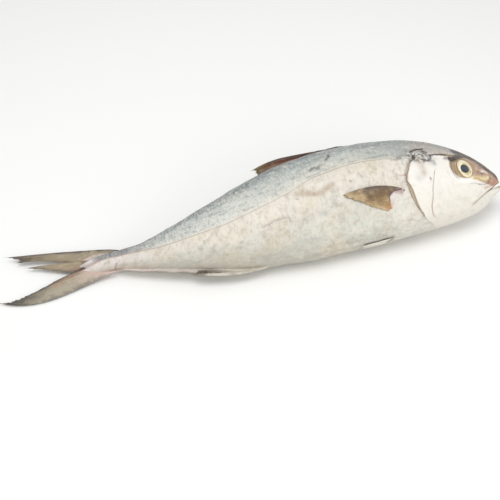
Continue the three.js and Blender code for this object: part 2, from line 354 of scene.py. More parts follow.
# %% [markdown]
# ## Skin of the body
# The skin is raw and wet, with scales so small that it looks smooth: glossy, but broken up by
# slime and by its own fine relief. Its colour follows the lateral line, the thin row of pores
# from the gill cover to the tail. Above it the skin is silver blue grey with dark flecks, and
# below it cream and beige. The head has its own colours, and the root of the tail turns pink.
#
# Head, flank and back could have a material each, but then hard seams would show between
# them. One material reads where it is from the vertices. Marks such as the dark band over the
# eye are strokes, and each kind of mark has its own colour and its own number.

# %% Start the skin material
MARK_COLOURS = {
    "slate": "#8b9194",  # bruised grey, and partly painted shade on the gill cover
    "tan": "#9a8265",  # rust and dried slime, and partly painted shade on the gill cover
    "cream": "#e2cf9f",  # yellow fat under thin skin
    "rose": "#b07862",  # blood under the skin
    "plum": "#93727c",  # old bruise
    "olive": "#8a6c38",  # the golden stripe of the amberjack
    "umber": "#403530",  # the dark band over the eye, and the shade in folds
    "chalk": "#f4f3f1",  # skin rubbed bare of colour, and painted highlights on the snout
}
PLACES = ("rise", "thread", "cheek", "cheek_shown", "head", "snout", "lid", "crumpled")
skin_material = bpy.data.materials.new("raw_fish_skin")
skin_material.use_nodes = True
tree = skin_material.node_tree
numbers = {}
for name in (*PLACES, *MARK_COLOURS):
    numbers[name] = add(tree, "Attribute", {}, "Fac", attribute_name=name)
flank = add(tree, "Attribute", {}, "Vector", attribute_name="flank")
numbers["along"] = add(tree, "SeparateXYZ", {0: flank})
print("numbers read by the skin:", len(numbers))

# %% [markdown]
# ## Patterns in millimetres
# Real skin is uneven at every size: large bruised and fatty fields, blotches as wide as a
# fingertip, drops of slime, single dark pigment spots, short upright strokes along the muscle
# bands and long streaks along the back. Noise gives all of these without a picture, each at
# its real size. Only the pigment spots are half a millimetre on a real fish and are drawn
# three times as wide, or they wouldn't show.

# %% Patterns of the skin
# Name, size in mm, detail, and stretch along the body, up it and through it.
PATTERNS = [
    ("broad", 34, 3, (1, 1, 1)),
    ("blotch", 11, 4, (1, 1, 1)),
    ("medium", 5, 4, (1, 1, 1)),
    ("fine", 1.7, 2, (1, 1, 1)),
    ("brushed", 2.6, 4, (1, 0.3, 1)),
    ("streaks", 5, 4, (0.3, 1, 1)),
]
for name, size_mm, detail, stretch in PATTERNS:
    at = add(tree, "Mapping", {"Vector": flank, "Scale": stretch})
    settings = {"Vector": at, "Scale": 1 / size_mm, "Detail": detail, "Roughness": 0.6}
    numbers[name] = add(tree, "TexNoise", settings)
sizes = [size_mm for _, size_mm, _, _ in PATTERNS]
print("patterns from", min(sizes), "to", max(sizes), "mm")

# %% [markdown]
# ## Masks
# A mask is a number from 0 to 1 that says where a coat may lie: above or below the lateral
# line, on the trunk or on the head. It could be painted by hand, but a soft step on a number
# that the mesh already keeps stays right when the shape changes.

# %% Masks of the skin
# Name, the number it follows, start, end, and the value at both.
MASKS = [
    ("trunk", "head", 0, 1, 1, 0),
    ("calm", "head", 0, 1, 1, 0.3),
    ("below", "rise", 0.12, -0.08, 0, 1),
    ("above", "rise", -0.03, 0.12, 0, 1),
    ("mid_back", "rise", 0.8, 0.4, 0, 1),
    # low is the lowest part of the belly, where a coat of painted shade lies.
    ("low", "rise", -0.5, -0.95, 0, 1),
    ("near_edge", "rise", 0.35, 0.95, 0.08, 0.9),
    ("tailward", "along", 300, 440, 0, 0.3),
    ("forward", "along", 300, 210, 0, 1),
    ("mid_trunk", "medium", 0.3, 0.6, 0.45, 1.1),
    ("uneven", "fine", 0.3, 0.65, 0.75, 1.1),
    ("frayed", "blotch", 0.3, 0.65, 0.75, 1.12),
    ("before_tail", "along", 500, 470, 0, 1),
    ("wander", "blotch", 0.3, 0.7, -0.03, 0.03),
]
for name, source, start, end, low, high in MASKS:
    settings = {0: numbers[source], 1: start, 2: end, 3: low, 4: high}
    numbers[name] = add(tree, "MapRange", settings, interpolation_type="SMOOTHSTEP")
both = {0: numbers["near_edge"], 1: numbers["tailward"]}
numbers["crowding"] = add(tree, "Math", both, operation="ADD")
print("masks:", len(MASKS) + 1)

# %% [markdown]
# ## Ground colours
# Under all its flecks the fish is pale below and dark above, so that it is hard to see from
# either side in the water. One even colour per zone would leave stripes, so three colour
# ramps run from the belly over the lateral line to the back edge: one for the trunk, one for
# the head and one for the root of the tail. The tide line between back and flank wanders a
# little, as it does on any real fish.

# %% Ground colours of the skin
level = add(tree, "Math", {0: numbers["rise"], 1: 0.5, 2: 0.5}, operation="MULTIPLY_ADD")
level = add(tree, "Math", {0: level, 1: numbers["wander"]}, operation="ADD")
# The two lowest stops of the trunk ramp, darker and a little green, are painted shade at the belly edge with a faint
# painted green reflection.
trunk_colour = add(tree, "ValToRGB", {0: level}, stops=[
    (0.0, "#afada1"), (0.1, "#c4c4b8"), (0.27, "#d3cfc4"), (0.43, "#dad3c7"), (0.5, "#d2cdc1"),
    (0.6, "#c6c6bd"), (0.7, "#bdc1bb"), (0.82, "#a9b0ad"), (0.92, "#838b8c"), (1.0, "#555b5e"),
])
head_colour = add(tree, "ValToRGB", {0: level}, stops=[
    (0.0, "#d5cfc4"), (0.12, "#dfdacf"), (0.3, "#e9e5de"), (0.46, "#e6e2da"), (0.52, "#ccc5bc"),
    (0.6, "#b3aca3"), (0.75, "#a39e96"), (0.88, "#857f79"), (1.0, "#635d57"),
])
tail_colour = add(tree, "ValToRGB", {0: level}, stops=[
    (0.0, "#d3c2b9"), (0.12, "#dad2cc"), (0.42, "#ddd7d2"), (0.49, "#cdb8af"), (0.53, "#93898a"),
    (0.72, "#6d6a6d"), (1.0, "#4d4c52"),
])
TAIL_FROM, TAIL_ALL = 395, 475  # s over which the colours of the tail root come in
limits = {0: numbers["along"], 1: TAIL_FROM, 2: TAIL_ALL}
at_tail = add(tree, "MapRange", limits, interpolation_type="SMOOTHSTEP")
ground = trunk_colour
for share, top in ((numbers["head"], head_colour), (at_tail, tail_colour)):
    ground = add(tree, "Mix", {0: share, 6: ground, 7: top}, 2, data_type="RGBA")
print("skin nodes so far:", len(tree.nodes))

# %% [markdown]
# ## Coats on the head
# The snout and the thick skin round the eye are brown and speckled, because there the skin
# lies on bone and shows what is under it. They could be objects of their own, but on the
# real head the brown fades out without an edge, and a coat fades just like that.

# %% Coats on the head
HEAD_COATS = [
    ("snout", 0, 1, 1, "#ac8c72"),
    ("medium", 0.48, 0.64, 0.7, "#6b4f40", "snout"),
    ("medium", 0.47, 0.3, 0.55, "#d9c0a6", "snout"),
    ("lid", 0, 1, 1, "#9b8160"),
    ("medium", 0.5, 0.3, 0.5, "#b79f79", "lid"),
]
colour = paint(tree, ground, numbers, HEAD_COATS)
print("coats on the head:", len(HEAD_COATS))

# %% [markdown]
# ## Coats on the flank
# The flank gets soft blotches: warm where the fat shows, cool and dull where it was pressed,
# and fine upright wrinkles where it has dried. A single noise would look like marble. Several
# weak coats of different sizes lie over each other as the real causes do.

# %% Coats on the flank
FLANK_COATS = [
    ("broad", 0.45, 0.65, 0.45, "#cdc0a8", "below", "trunk"),
    ("broad", 0.5, 0.32, 0.45, "#c9c6bc", "calm"),
    ("blotch", 0.5, 0.72, 0.45, "#dacdc1", "below", "trunk"),
    # Paler shoulder behind the gill cover: its whitish skin, with a painted sheen.
    ("along", 172, 128, 0.36, "#e5e1da", "below", "trunk"),
    ("blotch", 0.46, 0.28, 0.6, "#aca290", "calm"),
    ("medium", 0.48, 0.8, 0.4, "#e9e6e0"),
    ("medium", 0.5, 0.24, 0.42, "#938c80", "calm"),
    ("brushed", 0.5, 0.68, 0.3, "#a89c8b", "below", "trunk"),
    ("fine", 0.6, 0.78, 0.3, "#9a8468", "below", "trunk"),
    # Painted shade along the low belly towards the rear.
    ("along", 230, 310, 0.4, "#a8a293", "low"),
]
colour = paint(tree, colour, numbers, FLANK_COATS)
print("coats on the flank:", len(FLANK_COATS))

# %% [markdown]
# ## Coats on the back
# The back is brushed with dark pigment, most of all near its edge and towards the tail. The
# crumpled skin of the nape is rubbed white on its folds and dark between them. The flecks
# could be little dabs of mesh, but there are thousands of them, and noise costs nothing.

# %% Coats on the back
BACK_COATS = [
    ("along", 200, 125, 0.45, "#858c8a", "above", "trunk"),
    ("along", 250, 340, 0.5, "#d6d7d1", "above", "mid_back"),
    ("streaks", 0.5, 0.68, 0.55, "#7d8484", "above", "trunk"),
    ("blotch", 0.46, 0.3, 0.4, "#d9dbd4", "above", "trunk"),
    ("along", 415, 462, 0.6, "#747277", "above"),
    ("along", 478, 494, 0.8, "#d2c6c1", "above"),
    ("brushed", 0.5, 0.26, 0.45, "#dbdfdb", "above"),
    ("brushed", 0.46, 0.7, 1, "#585d5f", "crowding", "above"),
    ("fine", 0.5, 0.72, 0.55, "#53585a", "crowding", "above"),
    ("fine", 0.46, 0.76, 0.4, "#6b706c", "above"),
    ("medium", 0.52, 0.34, 0.6, "#d8d6d2", "crumpled"),
    ("medium", 0.42, 0.56, 0.95, "#4b4441", "crumpled"),
]
colour = paint(tree, colour, numbers, BACK_COATS)
print("coats on the back:", len(BACK_COATS))

# %% [markdown]
# ## Thin lines and marks
# Two lines are thinner than the mesh is fine: the lateral line, brown grey and pinkish
# towards the tail, and the rear edge of the cheek. Keeping how dark each vertex is would make
# them beaded. So for each line the mesh keeps the distance to it with its sign, which passes
# through 0 exactly on the line, also between vertices. The material takes away the sign and
# colours what is closer than about half a millimetre.
#
# Marks come last and fray a little, because the skin takes up colour unevenly.

# %% Lines and marks
for name in ("thread", "cheek"):
    numbers[name] = add(tree, "Math", {0: numbers[name]}, operation="ABSOLUTE")
numbers["rearward"] = add(tree, "Math", {0: 1, 1: numbers["forward"]}, operation="SUBTRACT")
LINE_COATS = [
    ("thread", 0.85, 0.1, 0.64, "#857b73", "mid_trunk", "trunk", "forward"),
    ("thread", 0.85, 0.1, 0.66, "#a08679", "mid_trunk", "trunk", "before_tail", "rearward"),
    ("cheek", 0.85, 0.1, 0.7, "#7f6f66", "cheek_shown", "frayed"),
]
MARK_STRENGTH = 0.97
MARK_COATS = [
    (name, 0, 1, MARK_STRENGTH, code, "uneven", "frayed") for name, code in MARK_COLOURS.items()
]
colour = paint(tree, colour, numbers, LINE_COATS + MARK_COATS)
print("kinds of mark:", len(MARK_COATS))

# %% [markdown]
# ## Relief of the skin
# Scales of an amberjack are about 3 mm apart, lie flat and hardly show. They could be cut
# into the mesh, but that would take millions of faces. A cell pattern of that spacing and the
# finer noise only have to tilt the light a little, so they are bump.

# %% Fine relief
SCALE_MM = 3.3
SCALE_SHARE, DENT_SHARE = 0.35, 1.6  # heights of scales and soft dents beside the fine noise
BUMP_MM = 0.6
cells = {"Vector": flank, "Scale": 1 / SCALE_MM, "Randomness": 0.55}
scales = add(tree, "TexVoronoi", cells, "Distance", feature="SMOOTH_F1")
scales = add(tree, "Math", {0: scales, 1: numbers["trunk"]}, operation="MULTIPLY")
parts = {0: scales, 1: SCALE_SHARE, 2: numbers["fine"]}
height = add(tree, "Math", parts, operation="MULTIPLY_ADD")
parts = {0: numbers["medium"], 1: DENT_SHARE, 2: height}
height = add(tree, "Math", parts, operation="MULTIPLY_ADD")
bump = add(tree, "Bump", {"Height": height, "Strength": 0.5, "Distance": BUMP_MM * MM})
print("scales every", SCALE_MM, "mm")

# %% [markdown]
# ## Gloss of the skin
# Wet slime shines, and the skin under it is half glossy and uneven. One roughness for all of
# it would look like plastic. The roughness changes with the slime, and a weak clear coat over
# it gives the sharper shine of the water. An IOR of 1.4 is that of wet tissue, and nothing on
# a fish is metal, because even its silver comes from clear crystals.

# %% Gloss
WET, DRY = 0.32, 0.48  # roughness under thick slime and where there is little
shader = tree.nodes["Principled BSDF"]
gloss = add(tree, "MapRange", {0: numbers["medium"], 1: 0.3, 2: 0.7, 3: WET, 4: DRY})
for socket, value in (("Base Color", colour), ("Normal", bump), ("Roughness", gloss)):
    tree.links.new(value, shader.inputs[socket])
for socket, value in (("IOR", 1.4), ("Coat Weight", 0.2), ("Coat Roughness", 0.2)):
    shader.inputs[socket].default_value = value
print("skin nodes:", len(tree.nodes))

# %% [markdown]
# ## Tubes
# Body, fin rays and gill membrane are all long closed skins. Each could be modelled from a
# different shape, but if all start as the same tube, one set of tools serves them all. A cone
# with two equal ends and no caps gets its rings from cuts across its long edges, and then
# each vertex is moved to where it belongs. At both ends the thickness runs out to nothing,
# so the two sides meet there and are welded into a closed skin.

# %% Draw a tube and read where its vertices are
def tube(rings, points):
    """A bmesh of an open tube, and the place along it and the angle of each vertex."""
    bm = bmesh.new()
    bmesh.ops.create_cone(
        bm,
        cap_ends=False,
        segments=points,
        radius1=1,
        radius2=1,
        depth=1,
        matrix=Matrix.Translation((0, 0, 0.5)),
    )
    long_edges = [e for e in bm.edges if abs(e.verts[0].co.z - e.verts[1].co.z) > 0.5]
    bmesh.ops.subdivide_edgering(bm, edges=long_edges, cuts=rings - 2, interp_mode="LINEAR")
    bm.verts.index_update()
    bm.verts.ensure_lookup_table()
    co = np.array([v.co for v in bm.verts])
    angle = np.arctan2(co[:, 0], co[:, 1]) % (2 * math.pi)
    return bm, np.clip(co[:, 2], 0, 1), angle


def move(bm, co):
    """Puts each vertex where its row of co says."""
    for v, point in zip(bm.verts, co):
        v.co = point


small, along, _ = tube(4, 6)
print("a small tube has", len(along), "vertices at", np.unique(along.round(2)), "along it")
small.free()

# %% [markdown]
# ## Where the rings run
# The edge of the gill cover is the sharpest form on the body. On an even mesh it would zigzag
# from vertex to vertex, and making the whole mesh finer would cost far too many faces. So the
# rings crowd at the gill cover and bend forward with its edge, and the edge lies on one ring.
# At the root of the tail the last rings bend too, because the scaly skin ends there in two
# blunt points.

# %% Rings along the body
RINGS = 341
GILL_RING = 153  # number of the ring on the edge of the gill cover
GILL_REAR = 127.5  # its s before it is bent

# Ring number and its s.
RING_TABLE = [
    (0, -4), (12, 0), (24, 8), (75, 60), (135, 118), (146, 125), (GILL_RING, GILL_REAR),
    (160, 130), (170, 140), (210, 200), (RINGS - 1, 512),
]
ring_s = smooth_curve(*zip(*RING_TABLE))
print("mm between rings at the gill cover:", (ring_s(GILL_RING + 1) - GILL_REAR).round(2))

# %% Edges that the rings follow
# s of the gill cover's rear edge from the throat up to the nape.
GILL_COVER = [
    (-60, 86), (-46, 88), (-43, 92), (-40.4, 99.8), (-38, 106.5), (-35.5, 110.5),
    (-31.5, 113.4), (-27.5, 116.6), (-24, 118.4), (-20, 119.8), (-10, 121.8), (-3, 123.2),
    (2.6, 125.6), (5.8, 126.8), (10.2, 125.6), (19.5, 120.5), (26.7, 116.9), (34, 109.2),
    (40, 104),
]
gill_edge = smooth_curve(*zip(*GILL_COVER))
# How far the scaly skin ends short of s = 512, from the belly edge (-1) to the back edge (1).
TAIL_EDGE = smooth_curve([-1, -0.75, -0.3, 0.05, 0.35, 0.7, 1], [-34, -22, -9, -13, -5, -11, -25])
print("the gill cover reaches back to s =", gill_edge(np.linspace(-60, 40, 201)).max().round(1))

# %% Bend the rings
GILL_BEND = (12, 235)  # s between which the rings bend with the gill cover
TAIL_BEND = (448, 512)  # s over which they bend to the end of the skin


def bent_rings(along, girth):
    """s of each point before and after bending. Girth is -1 at the belly and 1 at the back."""
    straight = ring_s(along * (RINGS - 1))
    front, rear = GILL_BEND
    pull = smooth_step(straight, front, GILL_REAR) * smooth_step(straight, rear, GILL_REAR)
    s = straight
    for _ in range(4):  # the bend depends on h, and h on s, so it is settled in rounds
        h = (back_edge(s) + belly_edge(s)) / 2 + girth * (back_edge(s) - belly_edge(s)) / 2
        s = straight + pull * (gill_edge(h) - GILL_REAR)
    return straight, s + smooth_step(straight, *TAIL_BEND) * TAIL_EDGE(girth)


middle_ring = bent_rings(GILL_RING / (RINGS - 1), np.array([-0.9, 0.0, 0.9]))[1]
print("s of the bent ring low, halfway and high:", middle_ring.round(1))

# %% [markdown]
# ## Where the rows run
# The mouth is a long slit with sharp lips. A boolean could cut it, but that leaves ragged
# faces that smooth badly. Instead the rows of points near it are drawn to the lips, so that a
# fold along one row gives a clean slit, and further back the rows run evenly again.

# %% Lips
# s and h of the lips.
UPPER_LIP_AT = [
    (-4, 8.4), (-3, 6.4), (-1, 4.2), (2, 2.0), (7, -1.4), (12, -4.4), (20, -9.4), (32, -17.1),
    (45, -24.4),
]
LOWER_LIP_AT = [
    (-4, -2.0), (2, -2.1), (7, -3.8), (12, -6.2), (20, -10.4), (32, -17.8), (45, -24.8),
]
UPPER_LIP = smooth_curve(*zip(*UPPER_LIP_AT))
LOWER_LIP = smooth_curve(*zip(*LOWER_LIP_AT))
print("the lips part by", UPPER_LIP(2.0) - LOWER_LIP(2.0), "mm at s = 2")

# %% Rows round the body
POINTS = 256
HALF = POINTS // 2  # rows on one flank, from the back edge to the belly edge
MOUTH_ROW = 93  # row in the middle of the mouth slit
UPPER_ROW, LOWER_ROW = MOUTH_ROW - 2, MOUTH_ROW + 2  # rows on the lips
MOUTH_CORNER = 45
MOUTH_CALM = 95  # s by which the rows run evenly again


def rows(s, girth, row):
    """h of each point, with the rows near the mouth drawn to the lips."""
    middle = (back_edge(s) + belly_edge(s)) / 2
    half = (back_edge(s) - belly_edge(s)) / 2
    above = math.cos(UPPER_ROW * math.pi / HALF)
    below = math.cos(LOWER_ROW * math.pi / HALF)
    calm = smooth_step(s, MOUTH_CORNER, MOUTH_CALM)
    upper = UPPER_LIP(s) + (middle + half * above - UPPER_LIP(s)) * calm
    lower = LOWER_LIP(s) + (middle + half * below - LOWER_LIP(s)) * calm
    over = upper + (girth - above) / (1 - above) * (back_edge(s) - upper)
    under = lower + (girth - below) / (-1 - below) * (belly_edge(s) - lower)
    inside = upper + (girth - above) / (below - above) * (lower - upper)
    return np.where(row <= UPPER_ROW, over, np.where(row >= LOWER_ROW, under, inside))


spacing = -np.diff(rows(160.0, np.cos(np.arange(HALF + 1) * math.pi / HALF), np.arange(HALF + 1)))
print("mm between rows at s = 160, from", spacing.min().round(2), "to", spacing.max().round(2))

# %% [markdown]
# ## Strokes
# Grooves, folds and coloured marks are all lines drawn on the skin. They could be painted
# into a picture, but the mesh is fine enough to carry them itself. A stroke is a smooth path
# through a few points, and the distance to the path says how deep or how dark it is.

# %% Strokes
def along_path(points, count=24):
    """Points on a smooth path through a few points of the flank."""
    t = np.linspace(0, 1, count)
    return np.stack([even_curve(values)(t) for values in zip(*points)], axis=1)


def distance(s, h, points):
    """Distance in mm from a smooth path."""
    path = along_path(points)
    nearest = np.full(s.shape, 1e9)
    for (s0, h0), (s1, h1) in zip(path, path[1:]):
        ds, dh = s1 - s0, h1 - h0
        t = np.clip(((s - s0) * ds + (h - h0) * dh) / max(ds * ds + dh * dh, 1e-9), 0, 1)
        nearest = np.minimum(nearest, (s - s0 - t * ds) ** 2 + (h - h0 - t * dh) ** 2)
    return np.sqrt(nearest)


def stroke(s, h, points, width):
    """1 on the path and 0 away from it, with soft edges about width away."""
    return np.exp(-((distance(s, h, points) / width) ** 2))


beside = stroke(np.array([5.0, 5.0]), np.array([0.0, 2.0]), [(0, 0), (10, 0)], 2)
print("a stroke 2 mm wide, on its path and 2 mm beside it:", beside.round(2))

# %% [markdown]
# ## Soft unevenness
# Flesh under skin is never quite flat. Random heights at each vertex would look like gravel,
# so a few long waves with random headings are added up instead. The seed keeps them the same
# each time.

# %% Soft unevenness
WAVES = 9


def crumple(s, h, size, seed):
    """A gentle uneven height from -1 to 1 with bumps of about that size."""
    rng = np.random.default_rng(seed)
    total = np.zeros_like(s)
    for _ in range(WAVES):
        heading = rng.uniform(0, 2 * math.pi)
        pace = 2 * math.pi / (size * rng.uniform(0.7, 1.8))
        phase = rng.uniform(0, 2 * math.pi)
        total += np.sin(pace * (s * math.cos(heading) + h * math.sin(heading)) + phase)
    return total / (WAVES / 2)


line = np.linspace(0, 100, 101)
print("largest height on a test line:", np.abs(crumple(line, 0 * line, 11, seed=1)).max().round(2))

# %% [markdown]
# ## Forms of the head and flank
# The eye sits in a shallow socket with a soft lid round it, grooves run round the cheek and
# the jaw bone, and the flank has folds where the fish was bent. Sculpting them would tie them
# to one mesh. As places and paths in millimetres they serve the shape and the colour alike.

# %% Eye, lid and cheek
EYE = {"s": 46.2, "h": 17.4, "bulge": 4.2}
SOCKET = {"edge": 12.6, "floor": 10.0, "depth": 2.1}
LID_RIDGE = {"from_eye": 14.2, "width": 2.2, "height": 0.5}
# Brown skin round the eye, widest behind it.
LID = {"s": 50, "h": 19, "long": 17.5, "tall": 15.5}
# Rear edge of the cheek: its s from the jaw up to the temple.
cheek_line = smooth_curve(
    [-36, -32, -26, -18, -6, 6.5, 14.5, 18], [97.5, 101.2, 101.9, 99.3, 96.7, 92.1, 88.6, 87]
)
print("rear edge of the cheek at s =", cheek_line(np.array([-30, 0, 15])).round(1))

# %% Folds and grooves
# Creases behind the eye, and folds where the flank was bent and pressed.
OUTER_CREASE = [(62, 26), (64.5, 20), (65.2, 14), (64, 8.4), (59.5, 4.2)]
INNER_CREASE = [(58.5, 26), (61, 20.5), (61.6, 15), (61, 9.7), (57, 5)]
MID_FOLD = [(300.7, -21), (289.9, -18), (280.6, -15.9), (271.8, -15.5), (267.2, -22)]
REAR_FOLD = [(372.5, -28.6), (361.2, -21), (349.8, -11.2)]
SHORT_FOLD = [(351.4, -19), (348.3, -27.5)]
# Depth, width and path of each groove.
GROOVES = [
    (0.3, 1.4, [(84, -1), (83.5, -7), (81.5, -13), (80.5, -19)]),
    (0.5, 1.1, [(13, 4.5), (15, 1.2), (19.8, -1.1), (25.4, -2.7), (32.7, -3), (38.4, -1.8),
                (45, -2.5)]),
    (0.35, 1.0, OUTER_CREASE),
    (0.35, 1.0, INNER_CREASE),
    (0.45, 0.9, [(43, -3.6), (46.5, -8), (47.5, -15), (46, -22)]),
    (1.0, 1.8, REAR_FOLD),
    (0.5, 1.5, SHORT_FOLD),
    (1.1, 2.0, MID_FOLD),
    (0.5, 1.6, [(292, -27), (275, -29)]),
    (0.6, 2.0, [(318, -52), (300, -50), (283, -50)]),
]
print("grooves:", len(GROOVES))

# %% [markdown]
# ## Gill cover
# The gill cover is a bony plate that stands proud of the shoulder and hides the gills behind
# its rear edge. It could be a shell of its own, but at the front it passes into the cheek
# without a seam. A fold of the same skin does both: the skin rises towards the edge, turns
# forward under it and comes out again on the shoulder.

# %% Edge of the gill cover
# mm behind the edge, and there how high the skin stands and how far it is pulled forward.
COVER_HEIGHT = [
    (-70, 0), (-30, 1.2), (-8, 1.7), (-1.2, 1.6), (0, 0.9), (0.36, -0.5), (0.9, -1.5), (1.8, -1.6),
    (3.4, -1.1), (9, 0),
]
COVER_PULL = [(-1, 0), (0, 0), (0.36, 1.0), (0.9, 1.5), (1.8, 0.9), (3.4, 0)]


def gill_fold(behind, strength):
    """Height and forward pull of the skin near the gill cover's edge."""
    height = np.interp(behind, *zip(*COVER_HEIGHT))
    return height * strength, np.interp(behind, *zip(*COVER_PULL)) * strength


print("step down at the gill cover:", max(h for _, h in COVER_HEIGHT), "to",
      min(h for _, h in COVER_HEIGHT), "mm")

# %% [markdown]
# ## Height of the skin
# All forms together give the skin one height over the plain body. Displace modifiers could
# add them one after the other, but each would need a texture of its own. Added up in one
# function, the height can be asked for at any place, also before there is a mesh.

# %% Measures of the soft forms
SOCKET_STRETCH = (1.07, 0.95)  # along the head and up it, so the socket is taller than wide
# The cheek stands a little over the gill cover. mm across its rear edge, and the s and h over
# which it fades out forwards, upwards and downwards.
CHEEK = {"height": 0.7, "edge": (1.2, -0.6), "front": (62, 88), "top": (20, 8), "low": (-38, -28)}
NAPE = {"height": 0.8, "path": [(112, 36), (98, 34), (86, 31)], "width": 9, "bumps": 6}
SOFT_FROM = (125, 160)  # s over which the flank gets soft behind the bony head
SWELLS = {"height": 0.55, "bumps": 34}
WRINKLES = {"height": 0.16, "bumps": 11}
print("soft forms from", WRINKLES["height"], "to", NAPE["height"], "mm high")

# %% Height of the skin
def eye_distance(s, h):
    """Distance in mm from the middle of the eye, as the socket is measured."""
    return np.hypot((s - EYE["s"]) * SOCKET_STRETCH[0], (h - EYE["h"]) * SOCKET_STRETCH[1])


def relief(s, h):
    """Height of the skin over the plain body, in mm."""
    from_eye = eye_distance(s, h)
    height = -SOCKET["depth"] * smooth_step(from_eye, SOCKET["edge"], SOCKET["floor"])
    off_ridge = (from_eye - LID_RIDGE["from_eye"]) / LID_RIDGE["width"]
    height = height + LID_RIDGE["height"] * np.exp(-(off_ridge**2))
    for depth, width, path in GROOVES:
        height = height - depth * stroke(s, h, path, width)
    cheek = CHEEK["height"] * smooth_step(s - cheek_line(h), *CHEEK["edge"])
    cheek = cheek * smooth_step(s, *CHEEK["front"])
    height = height + cheek * smooth_step(h, *CHEEK["top"]) * smooth_step(h, *CHEEK["low"])
    nape = NAPE["height"] * stroke(s, h, NAPE["path"], NAPE["width"])
    height = height + nape * crumple(s, h, NAPE["bumps"], seed=3)
    swells = SWELLS["height"] * crumple(s, h, SWELLS["bumps"], seed=5)
    wrinkles = WRINKLES["height"] * crumple(s, h, WRINKLES["bumps"], seed=9)
    return height + smooth_step(s, *SOFT_FROM) * (swells + wrinkles)


depth = relief(np.array([EYE["s"]]), np.array([EYE["h"]]))[0]
print("height of the skin in the eye socket:", depth.round(1), "mm")

# %% [markdown]
# ## Marks of the kind
# Some marks belong to the kind of fish: the dark band and the golden stripe through the eye,
# the nostrils, the reddish mouth, the creases of the jaw. They are on both flanks. A picture
# could hold them, but as strokes they keep sharp at any size and can be moved by a number.
# A few are painted light instead: highlights on the snout, and shade in the creases behind the eye.

# %% Dark marks of the head
# Colour name, strength, width and path.
KIND_MARKS = [
    # Dark band from the temple over the eye to the snout.
    ("umber", 0.6, 3.0, [(69, 31), (60, 30.6)]),
    ("umber", 1.3, 4.0, [(62, 30), (57, 31), (52, 33.6), (44, 36), (37, 36.5), (29, 34.6)]),
    ("umber", 1.1, 5.5, [(50, 44), (38, 42), (28, 38), (16, 29)]),
    ("umber", 1.0, 3.6, [(34, 35), (26, 31), (17.5, 22.5), (13, 19), (5.8, 14), (0, 9)]),
    # Dark line that goes on behind the eye.
    ("umber", 1.0, 1.4, [(88, 35.4), (81, 36.2), (74, 36.6), (66, 36.2)]),
    ("umber", 0.75, 1.3, [(87.4, 35.4), (88.5, 31), (92, 28.6), (97, 28)]),
    ("umber", 0.8, 2.0, [(16.7, 20.8), (13.6, 17.7)]),
    # Painted shade in the creases behind the eye.
    ("umber", 0.5, 1.1, OUTER_CREASE),
    ("umber", 0.35, 1.1, INNER_CREASE),
    # Nostrils and pores.
    ("umber", 0.75, 1.1, [(29, 13.4), (28.2, 12.5)]),
    ("umber", 0.8, 1.2, [(25, 11.8), (22, 9.8)]),
    ("umber", 0.7, 1.2, [(13.2, 6.6), (12.8, 5.8)]),
    ("umber", 0.65, 1.3, [(16.6, 3.2), (15.6, 2.2)]),
]
print("dark marks on each side of the head:", len(KIND_MARKS))

# %% Coloured marks of the head
KIND_MARKS += [
    # Upper edge of the jaw bone, and the lower lip.
    ("umber", 0.55, 1.0, [(15.5, 1.2), (19.8, -1.1), (25.4, -2.7), (32.7, -3)]),
    ("slate", 0.5, 1.0, [(31, -2.8), (38.4, -1.8), (45, -2.5)]),
    ("tan", 0.75, 1.1, [(16.5, -7.8), (9.9, -5.5), (3.7, -3.8), (-1, -2.4)]),
    # Edge of the gill cover.
    ("tan", 0.5, 2.4, [(118.5, 27), (124, 15), (126, 7)]),
    ("umber", 0.75, 1.8, [(109.4, 34.4), (113, 31), (116.8, 26.8)]),
    ("umber", 0.4, 1.3, [(116.8, 26.8), (120.5, 19.6), (125.4, 10.6), (126.6, 6)]),
    # Golden stripe behind the eye, and pale fold under it.
    ("olive", 0.95, 2.0, [(72, 36.4), (64, 36.2), (58, 35.4)]),
    ("cream", 0.9, 2.6, [(40, 4.6), (35, 4.2), (30, 5.6), (25, 4), (20, 4.8), (15.5, 7.4)]),
    ("olive", 0.5, 1.6, [(38, 4.2), (33, 4.4), (30, 5.4)]),
    ("cream", 0.5, 2.0, [(66, 36.2), (60, 36)]),
]
print("with the coloured marks:", len(KIND_MARKS))

# %% Mouth, pale places and tail root
KIND_MARKS += [
    # Reddish mouth, and creases of the lower jaw.
    ("rose", 0.75, 3.0, [(-3, 8.5), (3, 4.6), (8, 1.6), (13, -1.6)]),
    ("rose", 0.55, 2.2, [(13, -2.6), (20, -5.2), (25, -7)]),
    ("rose", 0.5, 2.2, [(10, 10.6), (7, 12)]),
    ("tan", 0.55, 1.1, [(18.7, -8.8), (25.4, -12.4), (31.6, -16.2), (38.9, -21), (46, -25)]),
    ("slate", 0.3, 1.4, [(30.5, -10.8), (34.7, -14.4), (38.4, -17.8)]),
    ("tan", 0.5, 1.8, [(40.4, -22.4), (46.1, -25.3)]),
    # Painted highlights on the snout, and a pale place on the cheek.
    ("chalk", 0.6, 1.8, [(22.9, 14.4), (18.7, 15.3), (15.1, 13.1)]),
    ("chalk", 0.35, 1.6, [(24, 8), (20, 8.2)]),
    ("chalk", 0.5, 2.6, [(60, 0.5), (50, 0), (42, 1.6)]),
    # Flush along the cheek and over the nape.
    ("rose", 0.35, 1.3, [(99.5, -16), (101.9, -26.3), (101.2, -32.3), (97.6, -36)]),
    ("rose", 0.16, 8, [(112, 56), (92, 56), (72, 52)]),
    # Root of the tail.
    ("rose", 0.3, 1.2, [(480, -16.4), (466, -17.4), (455, -19.4)]),
    ("chalk", 0.7, 3.4, [(512, 0), (502, 3), (492, 2)]),
    ("rose", 0.45, 1.5, [(505, -6), (496, -6), (484, -4)]),
]
print("marks on each flank:", len(KIND_MARKS))
